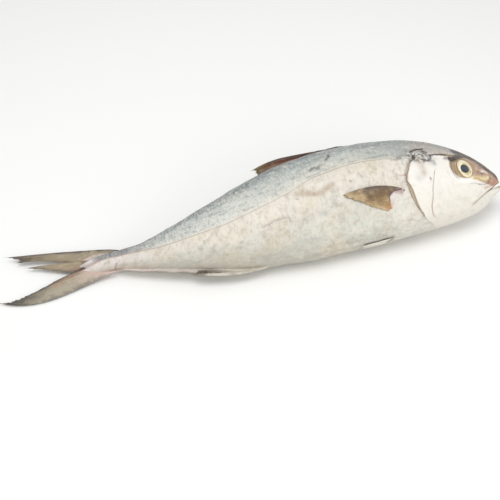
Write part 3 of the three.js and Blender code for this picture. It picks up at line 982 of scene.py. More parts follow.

# %% [markdown]
# ## Marks of handling
# Scratches, smudges and pressed folds were picked up after the catch, so they are only on
# the flank that faces up. Random stains would be quicker to make, but they would look like a
# pattern, and real ones lie where the fish was held and laid down. They are strokes too,
# mostly wide and weak. The dark strokes in the folds and along the pelvic fin are painted
# shade, and the brown and grey patches on the gill cover are partly painted shade.

# %% Marks on the nape, the gill cover and the shoulder
HANDLING_MARKS = [
    # Crumpled skin of the nape and temple.
    ("umber", 0.95, 1.6, [(111, 42.8), (106, 45), (101.4, 46.4), (92.6, 47.2)]),
    ("umber", 0.85, 1.2, [(94.7, 43.6), (89.5, 41)]),
    ("umber", 0.85, 1.5, [(110, 36), (108.5, 33), (113.5, 30)]),
    ("umber", 0.6, 1.3, [(104, 34), (100, 30), (95, 29)]),
    ("umber", 0.8, 1.1, [(48, 56.3), (47.4, 55.9)]),
    ("slate", 0.7, 3.4, [(91, 33), (88.5, 28), (86, 24)]),
    ("chalk", 0.7, 1.3, [(82, 33.6), (76, 32.2), (70.5, 32.8)]),
    ("slate", 0.6, 3.4, [(76, 54), (71, 52.5)]),
    # Gill cover, with brown and grey patches, partly its own tint and partly painted shade of its curve; and the
    # shoulder.
    ("tan", 0.42, 6.5, [(104, 25), (102.5, 13)]),
    ("slate", 0.3, 5, [(105, 11), (111, 5)]),
    ("tan", 0.2, 5, [(112, 12), (114, 8)]),
    ("plum", 0.8, 1.4, [(96.8, 6), (96.6, 3.6)]),
    ("plum", 0.25, 1.6, [(97.6, 2), (98.8, 0.6)]),
    ("rose", 0.6, 1.1, [(133, 13.4), (128.7, 13), (125.6, 14)]),
    ("slate", 0.5, 1.2, [(122.5, 33.2), (125.4, 29.5), (124.6, 26.4)]),
    ("rose", 0.35, 1.4, [(131, 33), (129, 26), (132, 20)]),
]
print("marks of handling near the head:", len(HANDLING_MARKS))

# %% Marks on the back and the flank
HANDLING_MARKS += [
    # Scratches and small stains on the back.
    ("umber", 1.0, 1.3, [(205, 58), (206.5, 53.5), (209, 50.5), (212, 47.8)]),
    ("umber", 0.6, 2.2, [(234, 36.4), (227, 39.8), (224, 38.4), (219, 43)]),
    ("tan", 0.95, 1.3, [(192.4, 15), (191.4, 13.6)]),
    ("tan", 0.55, 5.0, [(256, 8.8), (244, 7), (232, 5.2), (213, 13.5)]),
    ("umber", 0.5, 1.2, [(258, 3), (255.6, 2.8)]),
    # Painted shade in the folds of the flank.
    ("umber", 0.36, 2.2, MID_FOLD),
    ("umber", 0.22, 1.8, [(289, -20), (275, -19.5), (262, -21), (246, -20)]),
    ("umber", 0.2, 1.6, [(305, -26), (296, -24.5), (286, -25)]),
    ("umber", 0.32, 1.8, REAR_FOLD),
    ("umber", 0.26, 1.6, SHORT_FOLD),
    # Smudges on the back.
    ("umber", 0.4, 3.6, [(232, 62), (256, 57), (278, 50)]),
    ("umber", 0.24, 4.5, [(205, 56), (225, 51), (243, 45)]),
]
print("with folds and the marks of the back:", len(HANDLING_MARKS))

# %% Smudges on the flank and the belly
HANDLING_MARKS += [
    # Smudges on the flank.
    ("tan", 0.25, 4.2, [(322, -6), (318, -14), (322, -22)]),
    ("tan", 0.22, 3.4, [(185, -17), (181, -24), (186, -29)]),
    ("slate", 0.35, 3.6, [(214, -22), (209, -27)]),
    ("tan", 0.2, 5, [(156, -31), (163, -36), (160, -41)]),
    ("tan", 0.22, 5, [(262, -9), (252, -12), (241, -9)]),
    ("slate", 0.3, 4, [(236, -16), (228, -20)]),
    ("rose", 0.18, 6, [(150, -6), (140, -2), (134, 2)]),
    ("umber", 0.3, 2.6, [(331, -37), (327.5, -38)]),
    # Belly and lower edge.
    ("slate", 0.3, 3.4, [(267, -43), (243, -42)]),
    ("slate", 0.3, 2.4, [(212, -36.7), (202, -34)]),
    ("chalk", 0.2, 3.0, [(246, -36), (226, -33), (214, -29)]),
    ("rose", 0.3, 1.6, [(446, -22.6), (436, -25.4), (428, -27.4)]),
    # Painted shade along the slit of the pelvic fin.
    ("umber", 0.9, 0.9, [(149, -48.6), (160, -49.9), (172, -51.1), (184, -52.2)]),
    ("umber", 0.5, 1.3, [(466, -18), (463, -14)]),
]
print("all marks of handling:", len(HANDLING_MARKS))

# %% [markdown]
# ## Lay out the body
# Now the tube becomes the fish. Its angle round becomes a row on one of the two flanks, its
# length becomes a ring, and both together give s and h. The same could be done with a loop
# over vertices, but arrays do 87,000 of them at once.

# %% Rings and rows of the body
# s and h of the lateral line.
LATERAL_AT = [
    (-4, 8), (12, 15), (25, 24), (46, 33), (65, 35), (90, 36.5), (116, 34.5), (130, 35),
    (147, 37.5), (167, 37.4), (184, 36), (204, 33), (221, 29), (234, 25.8), (254, 17),
    (273, 9.8), (296, 2.8), (316, -3), (346, -10), (387, -13.4), (408, -13.9), (435, -11.2),
    (458, -7.2), (481, -4), (512, -3.5),
]
LATERAL = smooth_curve(*zip(*LATERAL_AT))

bm, along, angle = tube(RINGS, POINTS)
side = np.where(angle <= math.pi + 1e-6, 1, -1)
row = np.rint(np.where(side > 0, angle, 2 * math.pi - angle) * HALF / math.pi).astype(int)
ring = np.rint(along * (RINGS - 1)).astype(int)
girth = np.cos(row * math.pi / HALF)
straight, s = bent_rings(along, girth)
h = rows(s, girth, row)
print("vertices:", len(s), "from s =", s.min().round(1), "to", s.max().round(1))

# %% [markdown]
# ## Fold the mouth
# A fish out of the water gapes a little. One could cut the mouth out later, but folding is
# safer: the three rows between the lips turn inwards. At the front the fold reaches the
# middle plane from both flanks, so that the two sides can be opened to each other there. Its
# upper row rises as the palate, and the lower jaw reaches a little forward.

# %% Fold the mouth inwards
# Depth of the fold at each s, as a share of the half thickness.
MOUTH_DEPTH = smooth_curve([-4, 12, 16, 24, 43, 47], [1, 1, 0.13, 0.022, 0.01, 0])
OPEN_TO = 12  # s up to which one can see through between the lips
PALATE_MM = 1.4  # how far the upper row rises
MOUTH_FLOOR = 0.6  # the lower row sinks by this share of it
JAW_FORWARD = 2.2  # mm

off_mouth = np.abs(row - MOUTH_ROW)
w = skin(s, h) * (1 - MOUTH_DEPTH(s) * np.where(off_mouth <= 1, 1, 0))
palate = PALATE_MM * smooth_step(s, 47, 20) * smooth_step(s, -4, 2)
h = h + palate * np.where(row == MOUTH_ROW - 1, 1, 0)
h = h - MOUTH_FLOOR * palate * np.where(row == MOUTH_ROW + 1, 1, 0)
on_jaw = smooth_step(row, MOUTH_ROW - 1.5, MOUTH_ROW + 0.5)
jaw_forward = JAW_FORWARD * smooth_step(s, 22, -4) * on_jaw
in_mouth = (off_mouth <= 1) & (s < MOUTH_CORNER + 2)
print("mouth open over", int(((off_mouth == 0) & (s <= OPEN_TO)).sum() / 2), "rings")

# %% [markdown]
# ## Relief square to the skin
# Relief has to stand square to the skin, or it would smear near the back and the belly, where
# the flank turns away. The direction could come from the finished mesh, but the formula of
# the section gives it exactly.

# %% Which way the skin faces
half = (back_edge(s) - belly_edge(s)) / 2
across_body = np.clip((h - (back_edge(s) + belly_edge(s)) / 2) / half, -1, 1)
normal_h = across_body * half_thick(s)
normal_w = np.sqrt(1 - across_body**2) * half
normal_length = np.hypot(normal_h, normal_w)
print("share of the skin that faces more out than up or down:",
      (normal_w > np.abs(normal_h)).mean().round(2))

# %% Add the relief and fold the gill cover
COVER_TOP, COVER_LOW = (43, 35), (-30, -42)  # h over which the gill cover's fold fades out
COVER_FADE = 0.9  # how much of it is gone at the throat
LIP = {"height": 0.5, "row": 4, "rows": 2.2}  # mm, rows from the slit, and rows wide
behind = straight - GILL_REAR
reach = smooth_step(h, *COVER_TOP) * (1 - COVER_FADE * smooth_step(h, *COVER_LOW))
fold_height, fold_pull = gill_fold(behind, reach)
on_lip = np.exp(-(((off_mouth - LIP["row"]) / LIP["rows"]) ** 2)) * smooth_step(s, 48, 25)
height = relief(s, h) + fold_height + LIP["height"] * on_lip
height = height * smooth_step(s, -3, 6) * np.where(in_mouth, 0, 1)
# The thickness runs out to nothing at the snout and at the root of the tail.
ends = np.sqrt(smooth_step(straight, -4.01, 0) * smooth_step(straight, 512.01, 498))
w_out = np.maximum(w + normal_w / normal_length * height, 0) * ends
on_middle = (ring == 0) | (ring == RINGS - 1) | (row == 0) | (row == HALF)
w_out = np.where(on_middle | (in_mouth & (s <= OPEN_TO)), 0, w_out)
move(bm, place(s - fold_pull - jaw_forward, h + normal_h / normal_length * height, side * w_out))
print("relief from", height.min().round(1), "to", height.max().round(1), "mm")

# %% [markdown]
# ## Numbers for the skin material
# The material can't know where the lateral line or the cheek is. A UV map could tell it, but
# one map stretches over so many places. Instead each vertex keeps a few plain numbers: how
# far it is up from the lateral line or down from it, how much it belongs to the head, and
# how strongly each kind of mark covers it.

# %% Keep numbers at the vertices
FLANKS_APART = 40  # mm that keep the patterns of the two flanks from mirroring each other


def give(bm, name, values):
    """Keeps one number, or a vector of three, at each vertex for the materials to read."""
    layers = bm.verts.layers.float if values.ndim == 1 else bm.verts.layers.float_vector
    layer = layers.new(name)
    for v, value in zip(bm.verts, values.tolist()):
        v[layer] = value


above = np.clip((h - LATERAL(s)) / (back_edge(s) - LATERAL(s)), 0, 1)
under = np.clip((LATERAL(s) - h) / (LATERAL(s) - belly_edge(s)), 0, 1)
give(bm, "rise", above - under)
give(bm, "thread", h - LATERAL(s))
give(bm, "cheek", s - cheek_line(h))
give(bm, "cheek_shown", smooth_step(h, 18, 12) * smooth_step(h, -37, -33))
# Patterns read the way over the skin instead of h, so they don't stretch near the edges.
over_skin = np.arcsin(across_body) * (half + half_thick(s)) / 2
give(bm, "flank", np.stack([s, over_skin, side * (FLANKS_APART + w)], axis=1))
print("numbers kept:", len(bm.verts.layers.float.keys()), "and one vector")

# %% [markdown]
# ## Places on the head
# Head, snout, eyelid and nape pass into each other without an edge, apart from the gill cover,
# where the head ends sharply. They could be painted by hand as weights, but then they would
# have to be painted again whenever the mesh changes. Each is a soft step on a distance
# instead, and its border is as wide as the real one.

# %% Numbers for head, snout, lid and nape
TEMPLE = 40  # h above which the head fades into the back
SNOUT_SHARE, LID_SHARE = 0.92, 0.9  # how fully their colours cover the ground
# Crumpled skin of the nape: strength, width and path.
CRUMPLED = [
    (1, 7, [(112, 38), (104, 38), (96, 37)]),
    (0.9, 3.6, [(110, 31), (100, 28.5), (88, 29)]),
    (0.6, 3, [(133, 36), (122, 36)]),
]
head = np.where(h > TEMPLE, smooth_step(s, 135, 88), smooth_step(behind, 0.6, -0.4))
give(bm, "head", head)
snout_from = smooth_curve([-4, 10, 20, 30, 42], [-4, -4, -2, 0.5, 6])
snout = smooth_step(s, 46, 32) * smooth_step(h - snout_from(s), -1.5, 2.5)
give(bm, "snout", SNOUT_SHARE * snout)
from_lid = np.hypot((s - LID["s"]) / LID["long"], (h - LID["h"]) / LID["tall"])
give(bm, "lid", LID_SHARE * smooth_step(from_lid, 1.06, 0.88))
crumpled = np.zeros(len(s))
for strength, width, path in CRUMPLED:
    crumpled = np.maximum(crumpled, strength * stroke(s, h, path, width))
give(bm, "crumpled", crumpled * (side > 0))
print("share of all vertices that lie on the head:", (head > 0.5).mean().round(2))

# %% [markdown]
# ## Marks at the vertices
# Where two strokes of one kind cross, a real stain doesn't get twice as dark. Their sum would
# have to be cut off, so each vertex keeps the strongest stroke of each kind. The brown rim of
# the gill cover, the red of the mouth and the painted shade inside it follow the mesh itself,
# because a path could slip off a fold that is less than a millimetre wide.

# %% Numbers for the marks
RIM = {"strength": 0.8, "middle": -0.3, "edge": (1.5, 0.4), "top": (41, 34), "low": (-39, -29)}
MOUTH_RED, MOUTH_SHADE = 0.8, 0.3  # strongest red at the front, and painted shade in the slit behind it
on_rim = RIM["strength"] * smooth_step(np.abs(behind - RIM["middle"]), *RIM["edge"])
rim_brown = on_rim * smooth_step(h, *RIM["top"]) * smooth_step(h, *RIM["low"])
mouth_rose = np.where(in_mouth, MOUTH_RED * smooth_step(s, 30, 14), 0)
painted_mouth_shade = np.where(in_mouth, MOUTH_SHADE * smooth_step(s, 11, 14) * smooth_step(s, 30, 20), 0)
shown = {name: np.zeros(len(s)) for name in MARK_COLOURS}
for flanks, marks in ((np.ones(len(s)), KIND_MARKS), (side > 0, HANDLING_MARKS)):
    for name, strength, width, path in marks:
        here = strength * stroke(s, h, path, width) * flanks
        shown[name] = np.maximum(shown[name], here)
shown["tan"] = np.maximum(shown["tan"], rim_brown)
shown["rose"] = np.where(in_mouth, mouth_rose, shown["rose"])
shown["umber"] = np.where(in_mouth, painted_mouth_shade, shown["umber"])
for name, strength in shown.items():
    give(bm, name, strength)
print("vertices with a mark:", int((np.max(list(shown.values()), axis=0) > 0.1).sum()))

# %% [markdown]
# ## Close the body
# So far back edge, belly edge, snout and tail root are only pressed together. Their rims could
# be joined by a bridge of faces, but that can twist. They lie exactly on the middle plane, so
# it is enough to weld what touches there. The faces inside the front of the mouth are taken
# out first, which opens the two sides of the mouth to each other.

# %% Open the mouth and weld the middle
open_rows = in_mouth & (s <= OPEN_TO)
gap = [f for f in bm.faces if all(open_rows[v.index] for v in f.verts)]
middle_verts = [bm.verts[i] for i in np.flatnonzero(w_out == 0)]
print("faces taken out of the mouth:", len(gap))
bmesh.ops.delete(bm, geom=gap, context="FACES")
bmesh.ops.remove_doubles(bm, verts=[v for v in middle_verts if v.is_valid], dist=1e-6)
bmesh.ops.dissolve_degenerate(bm, edges=bm.edges, dist=1e-7)
print("vertices after welding:", len(bm.verts))

# %% [markdown]
# ## Dress a piece
# Every piece needs the same last steps: smooth faces that look outwards, a material, and a
# word to the frame about what it rides on, what it stands for and which finish it takes. They
# could be repeated for each piece, but then one of them is soon forgotten. One function does
# them all, and the body is the first piece that it dresses.

# %% Dress a piece
def dress(bm, name, material):
    """Makes the piece: smooth, facing out, riding on the fish and standing for its solid."""
    bmesh.ops.recalc_face_normals(bm, faces=bm.faces)
    if bm.calc_volume(signed=True) < 0:  # a thin bent sheet can come out inside out
        bmesh.ops.reverse_faces(bm, faces=bm.faces)
    for face in bm.faces:
        face.smooth = True
    mesh = bpy.data.meshes.new(name)
    bm.to_mesh(mesh)
    open_edges = sum(1 for e in bm.edges if not e.is_manifold)
    triangles = sum(len(f.verts) - 2 for f in bm.faces)
    bm.free()
    piece = bpy.data.objects.new(name, mesh)
    bpy.context.scene.collection.objects.link(piece)
    mesh.materials.append(material)
    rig.ride(piece, "root")
    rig.replaces(piece, "whole_fish")
    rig.slot(piece, "fish_skin")
    print(f"{name}: {triangles} triangles, {open_edges} edges not closed")


dress(bm, "body", skin_material)

# %% [markdown]
# ## Eye material
# The eye of a raw fish is a cream iris round a dark navy pupil, under clear wet tissue. It
# could be three nested meshes with glass on top, but the layers are thin and lie close. One
# closed dome with two rings of colour under a full clear coat looks the same from outside and
# costs little. The coat is nearly as smooth as a mirror, as a wet cornea is.

# %% Start the eye material
EYE_SPECK_MM = 2.2
eye_material = bpy.data.materials.new("wet_fish_eye")
eye_material.use_nodes = True
tree = eye_material.node_tree
numbers = {}
for name in ("iris", "pupil", "crescent", "bruise"):
    numbers[name] = add(tree, "Attribute", {}, "Fac", attribute_name=name)
at = add(tree, "Attribute", {}, "Vector", attribute_name="eye_at")
settings = {"Vector": at, "Scale": 1 / EYE_SPECK_MM, "Detail": 4, "Roughness": 0.6}
numbers["uneven"] = add(tree, "TexNoise", settings)
print("numbers read by the eye:", len(numbers))

# %% [markdown]
# ## Iris and pupil
# The iris is pale in the middle and browner at its rim, with an olive crescent in front of
# the pupil and a small bruise. The pupil isn't quite black: it is bluish, because the lens
# behind it has turned a little cloudy. Flat colours would look painted on, so ramps run
# outwards from the middle of each.

# %% Colours of the eye
iris = add(tree, "ValToRGB", {0: numbers["iris"]}, stops=[
    (0.45, "#c8b57c"), (0.54, "#ebe2c4"), (0.7, "#e4d9b8"), (0.86, "#e2d4b2"), (0.94, "#dccba7"),
    (0.98, "#cdb794"), (1.0, "#c0a988"),
])
iris = paint(tree, iris, numbers, [
    ("uneven", 0.45, 0.7, 0.4, "#f1ead6"),
    ("uneven", 0.5, 0.3, 0.3, "#d8c08c"),
    ("crescent", 0, 1, 0.7, "#a8943c"),
    ("bruise", 0, 1, 1, "#66512f"),
])
pupil = add(tree, "ValToRGB", {0: numbers["pupil"]}, stops=[
    (0.0, "#243049"), (0.5, "#253143"), (0.86, "#242b30"), (0.97, "#1f2325"),
])
rim = {0: numbers["pupil"], 1: 0.97, 2: 1.03}
outside = add(tree, "MapRange", rim, interpolation_type="SMOOTHSTEP")
colour = add(tree, "Mix", {0: outside, 6: pupil, 7: iris}, 2, data_type="RGBA")
shader = tree.nodes["Principled BSDF"]
tree.links.new(colour, shader.inputs["Base Color"])
for socket, value in (("Roughness", 0.22), ("Coat Weight", 1.0), ("Coat Roughness", 0.04)):
    shader.inputs[socket].default_value = value
print("eye nodes:", len(tree.nodes))

# %% [markdown]
# ## Eyes
# The eyeball is a flat dome pressed onto the slope of the head. A disc would need its own
# rings, and a sphere already has them: with its pole facing out they run round as the iris
# does. Its outer half is the dome, and its inner half is pressed flat inside the socket.

# %% Measures of the eye
EYE_HALF = (10.3, 12.5)  # mm, half the width along the head and half the height
EYE_SUNK = 0.7  # mm that its rim lies under the skin
EYE_BACK = 3  # mm that its inner half is deep
DOME_POWER = 1.2  # 1 gives half an ellipsoid, and more makes its rim flatter
EYES_APART = 9  # mm that keep the specks of the two eyes apart
PUPIL = {"s": 48.4, "h": 15.2, "radius": 5.5}
CRESCENT = {"slope": 0.9, "length": 9, "edge": (9.5, 6.5)}  # mm from the pupil's middle
EYE_BRUISE = {"s": 41.2, "h": 11.4, "width": 1.2, "strength": 0.8}
print("eyes in mm, along the head and up it:", 2 * EYE_HALF[0], "by", 2 * EYE_HALF[1])

# %% Make an eye
FLANKS = (("right", 1), ("left", -1))  # name and side of each flank, the upper one first


def eye(name, flank):
    """An eye on a flank (1 or -1)."""
    bm = bmesh.new()
    bmesh.ops.create_uvsphere(bm, u_segments=96, v_segments=72, radius=1)
    ball = np.array([v.co for v in bm.verts])
    hidden = ball[:, 2] <= 0
    s = EYE["s"] + EYE_HALF[0] * ball[:, 0]
    h = EYE["h"] + EYE_HALF[1] * ball[:, 1]
    outer, inner = np.clip(ball[:, 2], 0, 1), np.clip(ball[:, 2], -1, 0)
    dome = EYE["bulge"] * outer**DOME_POWER + EYE_BACK * inner - EYE_SUNK
    move(bm, place(s, h, flank * (skin(s, h) + dome)))
    ds, dh = s - PUPIL["s"], h - PUPIL["h"]
    from_pupil = np.hypot(ds, dh)
    give(bm, "iris", np.where(hidden, 1, np.hypot(ball[:, 0], ball[:, 1])))
    give(bm, "pupil", from_pupil / PUPIL["radius"] + 2 * hidden)  # the hidden half is all iris
    give(bm, "eye_at", np.stack([s, h, np.full(len(s), EYES_APART * flank)], axis=1))
    front_low = np.clip((-ds - dh * CRESCENT["slope"]) / CRESCENT["length"], 0, 1)
    give(bm, "crescent", front_low * smooth_step(from_pupil, *CRESCENT["edge"]))
    from_bruise = np.hypot(s - EYE_BRUISE["s"], h - EYE_BRUISE["h"])
    bruise = EYE_BRUISE["strength"] * np.exp(-((from_bruise / EYE_BRUISE["width"]) ** 2))
    give(bm, "bruise", bruise)
    dress(bm, name, eye_material)


for end, flank in FLANKS:
    eye("eye_" + end, flank)

# %% [markdown]
# ## Middle sheet of a fin
# A fin is a thin membrane over many bony rays. Planes with a picture of rays would have no
# thickness, and single rays would leave holes, so each fin here is one closed skin round a
# middle sheet. The sheet is drawn through a few rows of points from the root to the tip, with
# u from edge to edge and t from root to tip. A smooth curve runs along each row, and one
# polynomial from row to row keeps the fin from getting kinks.

# %% Middle sheet of a fin
def sheet(*levels):
    """Middle sheet through rows of (s, h, lift) from the root row to the tip row."""
    curves = [[even_curve(values) for values in zip(*level)] for level in levels]
    knots = np.linspace(0, 1, len(levels))

    def shape(u, t):
        total = 0
        for i, level in enumerate(curves):
            others = [(t - k) / (knots[i] - k) for j, k in enumerate(knots) if j != i]
            total = total + np.prod(others, axis=0) * np.stack([curve(u) for curve in level])
        return total

    return shape


square = sheet([(0, 0, 0), (10, 0, 0)], [(0, 8, 0), (10, 8, 0)])
print("s, h and lift in the middle of a sheet of 10 by 8 mm:",
      square(np.array([0.5]), np.array([0.5])).ravel())

# %% [markdown]
# ## Rays
# The rays of a real fin are a little uneven: some stand higher, and some are broken off
# shorter. Evenly spaced ribs would look like a comb. So the ray number wanders slightly on
# its way from edge to edge, and each ray gets its own height and its own length.

# %% Rays of a fin
RAY_WANDER, WANDER_PACE = 0.3, 2.3  # in rays, and radians from one ray to the next
LOWEST_RAY = 0.35  # height of the lowest ray beside the highest one


def ray_lines(u, rays, seed):
    """Ray number at each u, how far it is broken off, and how high it stands, both 0 to 1."""
    wander = RAY_WANDER * np.sin(WANDER_PACE * u * rays + seed) * np.sin(math.pi * u)
    ray = u * rays + wander
    rng = np.random.default_rng(seed)
    middles = np.arange(rays) + 0.5
    broken = np.interp(ray, middles, rng.uniform(0, 1, rays))
    high = np.interp(ray, middles, rng.uniform(LOWEST_RAY, 1, rays))
    return ray, broken, high * (0.5 - 0.5 * np.cos(2 * math.pi * ray))


some_rays, broken, _ = ray_lines(np.linspace(0.1, 0.9, 5), rays=10, seed=1)
print("rays", some_rays.round(1), "of ten are broken off by", broken.round(2))

# %% [markdown]
# ## From tube to fin
# Now the tube is pressed flat. Half of its circumference becomes one face of the fin, and the
# other half becomes the other face. It is as thick as its rays allow and runs out to nothing
# all round the edge, where it is welded. Towards the tip the membrane draws back between the
# rays, which gives the frayed edge.

# %% Shares of a fin
EDGE_POWER = 0.35  # the smaller, the blunter are the first and the last ray
BROKEN_SHARE, DRAWN_SHARE = 0.62, 0.38  # of the fraying, from broken rays and drawn membrane
RIB_SHARE = 0.25  # of the thickness, that only the rays have
FINS_APART = 7  # mm in the pattern from the number of one fin to the next
FIN_RINGS, FIN_POINTS = 48, 192  # along a fin and round it, where it asks for no others
print("of a fin's thickness,", 1 - RIB_SHARE, "is membrane and", RIB_SHARE, "rises on the rays")

# %% Make a fin
def fin(
    name, material, shape, rays, thick, seed, fray=0, flank=0, rings=FIN_RINGS, points=FIN_POINTS
):
    """A fin on a flank (1 or -1), or in the middle plane (0).

    Thick is half of its thickness at even steps from root to tip, fray the share of its
    length that the most broken rays lack, and seed the number that makes its rays its own.
    """
    bm, along, angle = tube(rings, points)
    turn = angle / math.pi
    u = np.where(turn <= 1, turn, 2 - turn)
    face = np.where(turn <= 1, 1, -1)
    ray, broken, ridge = ray_lines(u, rays, seed)
    ridge = ridge * smooth_step(along, 0.05, 0.3)
    fray = fray * (0.3 + 0.7 * np.sin(math.pi * u))  # less at the strong outer rays
    lacking = BROKEN_SHARE * broken + DRAWN_SHARE * (1 - ridge)
    t = along * (1 - fray * lacking * smooth_step(along, 0.3, 1))
    s, h, lift = shape(u, t)
    edge = np.abs(np.sin(angle)) ** EDGE_POWER
    ends = np.sqrt(smooth_step(along, 0, 0.04) * smooth_step(along, 1.0, 0.94))
    half = even_curve(thick)(t) * edge * ends * (1 - RIB_SHARE + RIB_SHARE * ridge)
    half = np.where((along < 1e-6) | (along > 1 - 1e-6) | (edge < 1e-3), 0, half)
    base = flank * (skin(s, h) + lift) if flank else lift
    move(bm, place(s, h, base + (flank or 1) * face * half))
    for key, values in (("across", u), ("along", along), ("ray", ray)):
        give(bm, key, values)
    give(bm, "fin_at", np.stack([s, h, FINS_APART * seed + face], axis=1))
    rim = [v for v, thin in zip(bm.verts, half == 0) if thin]
    bmesh.ops.remove_doubles(bm, verts=rim, dist=1e-7)
    bmesh.ops.dissolve_degenerate(bm, edges=bm.edges, dist=1e-7)
    dress(bm, name, material)


print("points of a fin before welding:", FIN_RINGS * FIN_POINTS)

# %% [markdown]
# ## Numbers for the fin material
# A fin is a thin wet membrane: darker between the rays, and frayed and dry at its tip. Each
# could get a noise of its own, but all fins share one recipe, because they grow alike. It
# reads where it is from the vertices: across the rays, along them, and the ray number, whose
# cosine is lowest on a ray and highest in the valley between two. Threads run along the rays.
# They are half a millimetre on a real fin and are drawn three times as coarse, or they
# wouldn't show.

# %% Numbers for the fin material
THREAD_MM = 1.5
THREAD_STRETCH = 0.14  # threads are about seven times as long as they are wide
CLOUD_MM = 9


def fin_numbers(tree, inside):
    """Reads the numbers of a fin and mixes patterns. Inside is where the root colour begins."""
    reads = {}
    for key in ("across", "along", "ray"):
        reads[key] = add(tree, "Attribute", {}, "Fac", attribute_name=key)
    at = add(tree, "Attribute", {}, "Vector", attribute_name="fin_at")
    drawn_out = add(tree, "Mapping", {"Vector": at, "Scale": (THREAD_STRETCH, 1, 1)})
    for key, where, size_mm in (("cloud", at, CLOUD_MM), ("thread", drawn_out, THREAD_MM)):
        settings = {"Vector": where, "Scale": 1 / size_mm, "Detail": 4, "Roughness": 0.6}
        reads[key] = add(tree, "TexNoise", settings)
    for key, source, start, end, low, high in (
        ("wander", "cloud", 0.3, 0.7, -0.12, 0.12),
        ("off_edge", "across", inside - 0.1, inside + 0.1, 0, 1),
        ("grown", "along", 0.1, 0.4, 0, 1),
        ("patchy", "thread", 0.3, 0.7, 0.15, 1),
    ):
        limits = {0: reads[source], 1: start, 2: end, 3: low, 4: high}
        reads[key] = add(tree, "MapRange", limits, interpolation_type="SMOOTHSTEP")
    reads["reach"] = add(tree, "Math", {0: reads["along"], 1: reads["wander"]}, operation="ADD")
    turn = add(tree, "Math", {0: reads["ray"], 1: 2 * math.pi}, operation="MULTIPLY")
    reads["valley"] = add(tree, "Math", {0: turn}, operation="COSINE")
    return reads


print("threads every", THREAD_MM, "mm, clouds every", CLOUD_MM, "mm")

# %% [markdown]
# ## Fin material
# The colour of a fin changes from its leading edge to its rear edge, and root and tip differ
# again. A separate material for each zone would leave edges, so coats are laid over a ramp
# as on the skin: first the root and the tip, then clouds, and last the dark valleys between
# the rays and the threads. A membrane that starts to dry is duller than the skin, so it is
# rougher under a thinner clear coat, and its IOR stays at 1.5, as for dry horn.

# %% Coats of a fin
def fin_coats(root, root_reach, tip, tip_from, share, streak):
    """The root colour out to root_reach, the tip colour from tip_from, and the streaks.

    Streaks lie between the rays and along them, as strongly as share says.
    """
    return [
        ("reach", root_reach, root_reach * 0.25, 1, root, "off_edge"),
        ("reach", tip_from, 1, 1, tip),
        ("cloud", 0.5, 0.75, 0.2, "#e3dccd"),
        ("cloud", 0.48, 0.3, 0.3 * share, streak),
        ("valley", -0.2, 1, share, streak, "grown", "patchy"),
        ("thread", 0.52, 0.34, share, streak),
        ("thread", 0.55, 0.8, 0.3, "#e0d3bd"),
    ]


print("coats on a fin:", len(fin_coats("#c3ac9f", 0.36, "#4d463d", 0.5, 0.14, "#5e554b")))

# %% Fin material
MOIST, DRIED = 0.36, 0.52  # roughness of the membrane
FIN_RELIEF = 0.4  # strength of its bump, which is as deep as that of the skin
VALLEY_DEPTH = 0.3  # of the valleys between the rays, beside the threads


def fin_skin(name, across, root, root_reach, tip, tip_from, share, streak="#4a3d33", inside=0):
    """Wet membrane. Across are the stops of a ramp from the first ray to the last.

    The root colour begins at the share inside of the way across.
    """
    material = bpy.data.materials.new(name)
    material.use_nodes = True
    tree = material.node_tree
    reads = fin_numbers(tree, inside)
    place_across = add(tree, "Math", {0: reads["across"], 1: reads["wander"]}, operation="ADD")
    colour = add(tree, "ValToRGB", {0: place_across}, stops=across)
    coats = fin_coats(root, root_reach, tip, tip_from, share, streak)
    colour = paint(tree, colour, reads, coats)
    sunken = add(tree, "Math", {0: reads["valley"], 1: reads["grown"]}, operation="MULTIPLY")
    folds = {0: sunken, 1: -VALLEY_DEPTH, 2: reads["thread"]}
    height = add(tree, "Math", folds, operation="MULTIPLY_ADD")
    relief_by = {"Height": height, "Strength": FIN_RELIEF, "Distance": BUMP_MM * MM}
    bump = add(tree, "Bump", relief_by)
    gloss = add(tree, "MapRange", {0: reads["thread"], 1: 0.3, 2: 0.7, 3: MOIST, 4: DRIED})
    shader = tree.nodes["Principled BSDF"]
    for socket, value in (("Base Color", colour), ("Normal", bump), ("Roughness", gloss)):
        tree.links.new(value, shader.inputs[socket])
    for socket, value in (("Coat Weight", 0.15), ("Coat Roughness", 0.25)):
        shader.inputs[socket].default_value = value
    print(f"{name}: {len(tree.nodes)} nodes")
    return material


print("roughness of the fins:", MOIST, "to", DRIED)

# %% [markdown]
# ## Pectoral fins
# The pectoral fin folds back over the flank, so it could be a mere relief of it. But its
# lower edge lifts off the skin and throws a small shadow, so it is a piece of its own that
# lies on the flank. Its leading rays are dark brown, the others olive and golden.

# %% Pectoral fins
PECTORAL = sheet(
    [(131, -3.5, -0.5), (141, -4.5, 0.2), (148, -8.5, 0.4), (151, -14, 0.4), (150, -22, 0.0)],
    [(152, 2.2, 1.0), (157, -2.5, 1.6), (159, -8.5, 1.8), (157, -15.5, 1.5), (152, -23.2, 0.8)],
    [(178, 3.2, 1.5), (179, -2.5, 2.2), (173, -10, 2.4), (164, -17.8, 2.0), (154, -24.6, 1.2)],
    [(207, -2.4, 1.0), (206, -4.2, 1.4), (191, -12.0, 1.6), (173, -20.5, 1.4), (156.5, -25.8, 1.0)],
)
pectoral_material = fin_skin(
    "folded_pectoral_membrane",
    [(0.0, "#594a43"), (0.12, "#675545"), (0.3, "#6c5536"), (0.55, "#785c36"), (0.8, "#9a7e50"),
     (1.0, "#b0804f")],
    root="#67534c", root_reach=0.22, tip="#b39a71", tip_from=0.62,
    share=0.2,
)
for end, flank in FLANKS:
    fin("pectoral_" + end, pectoral_material, PECTORAL, rays=17, thick=[0.7, 0.8, 0.6, 0.3],
        seed=4, fray=0.1, flank=flank)

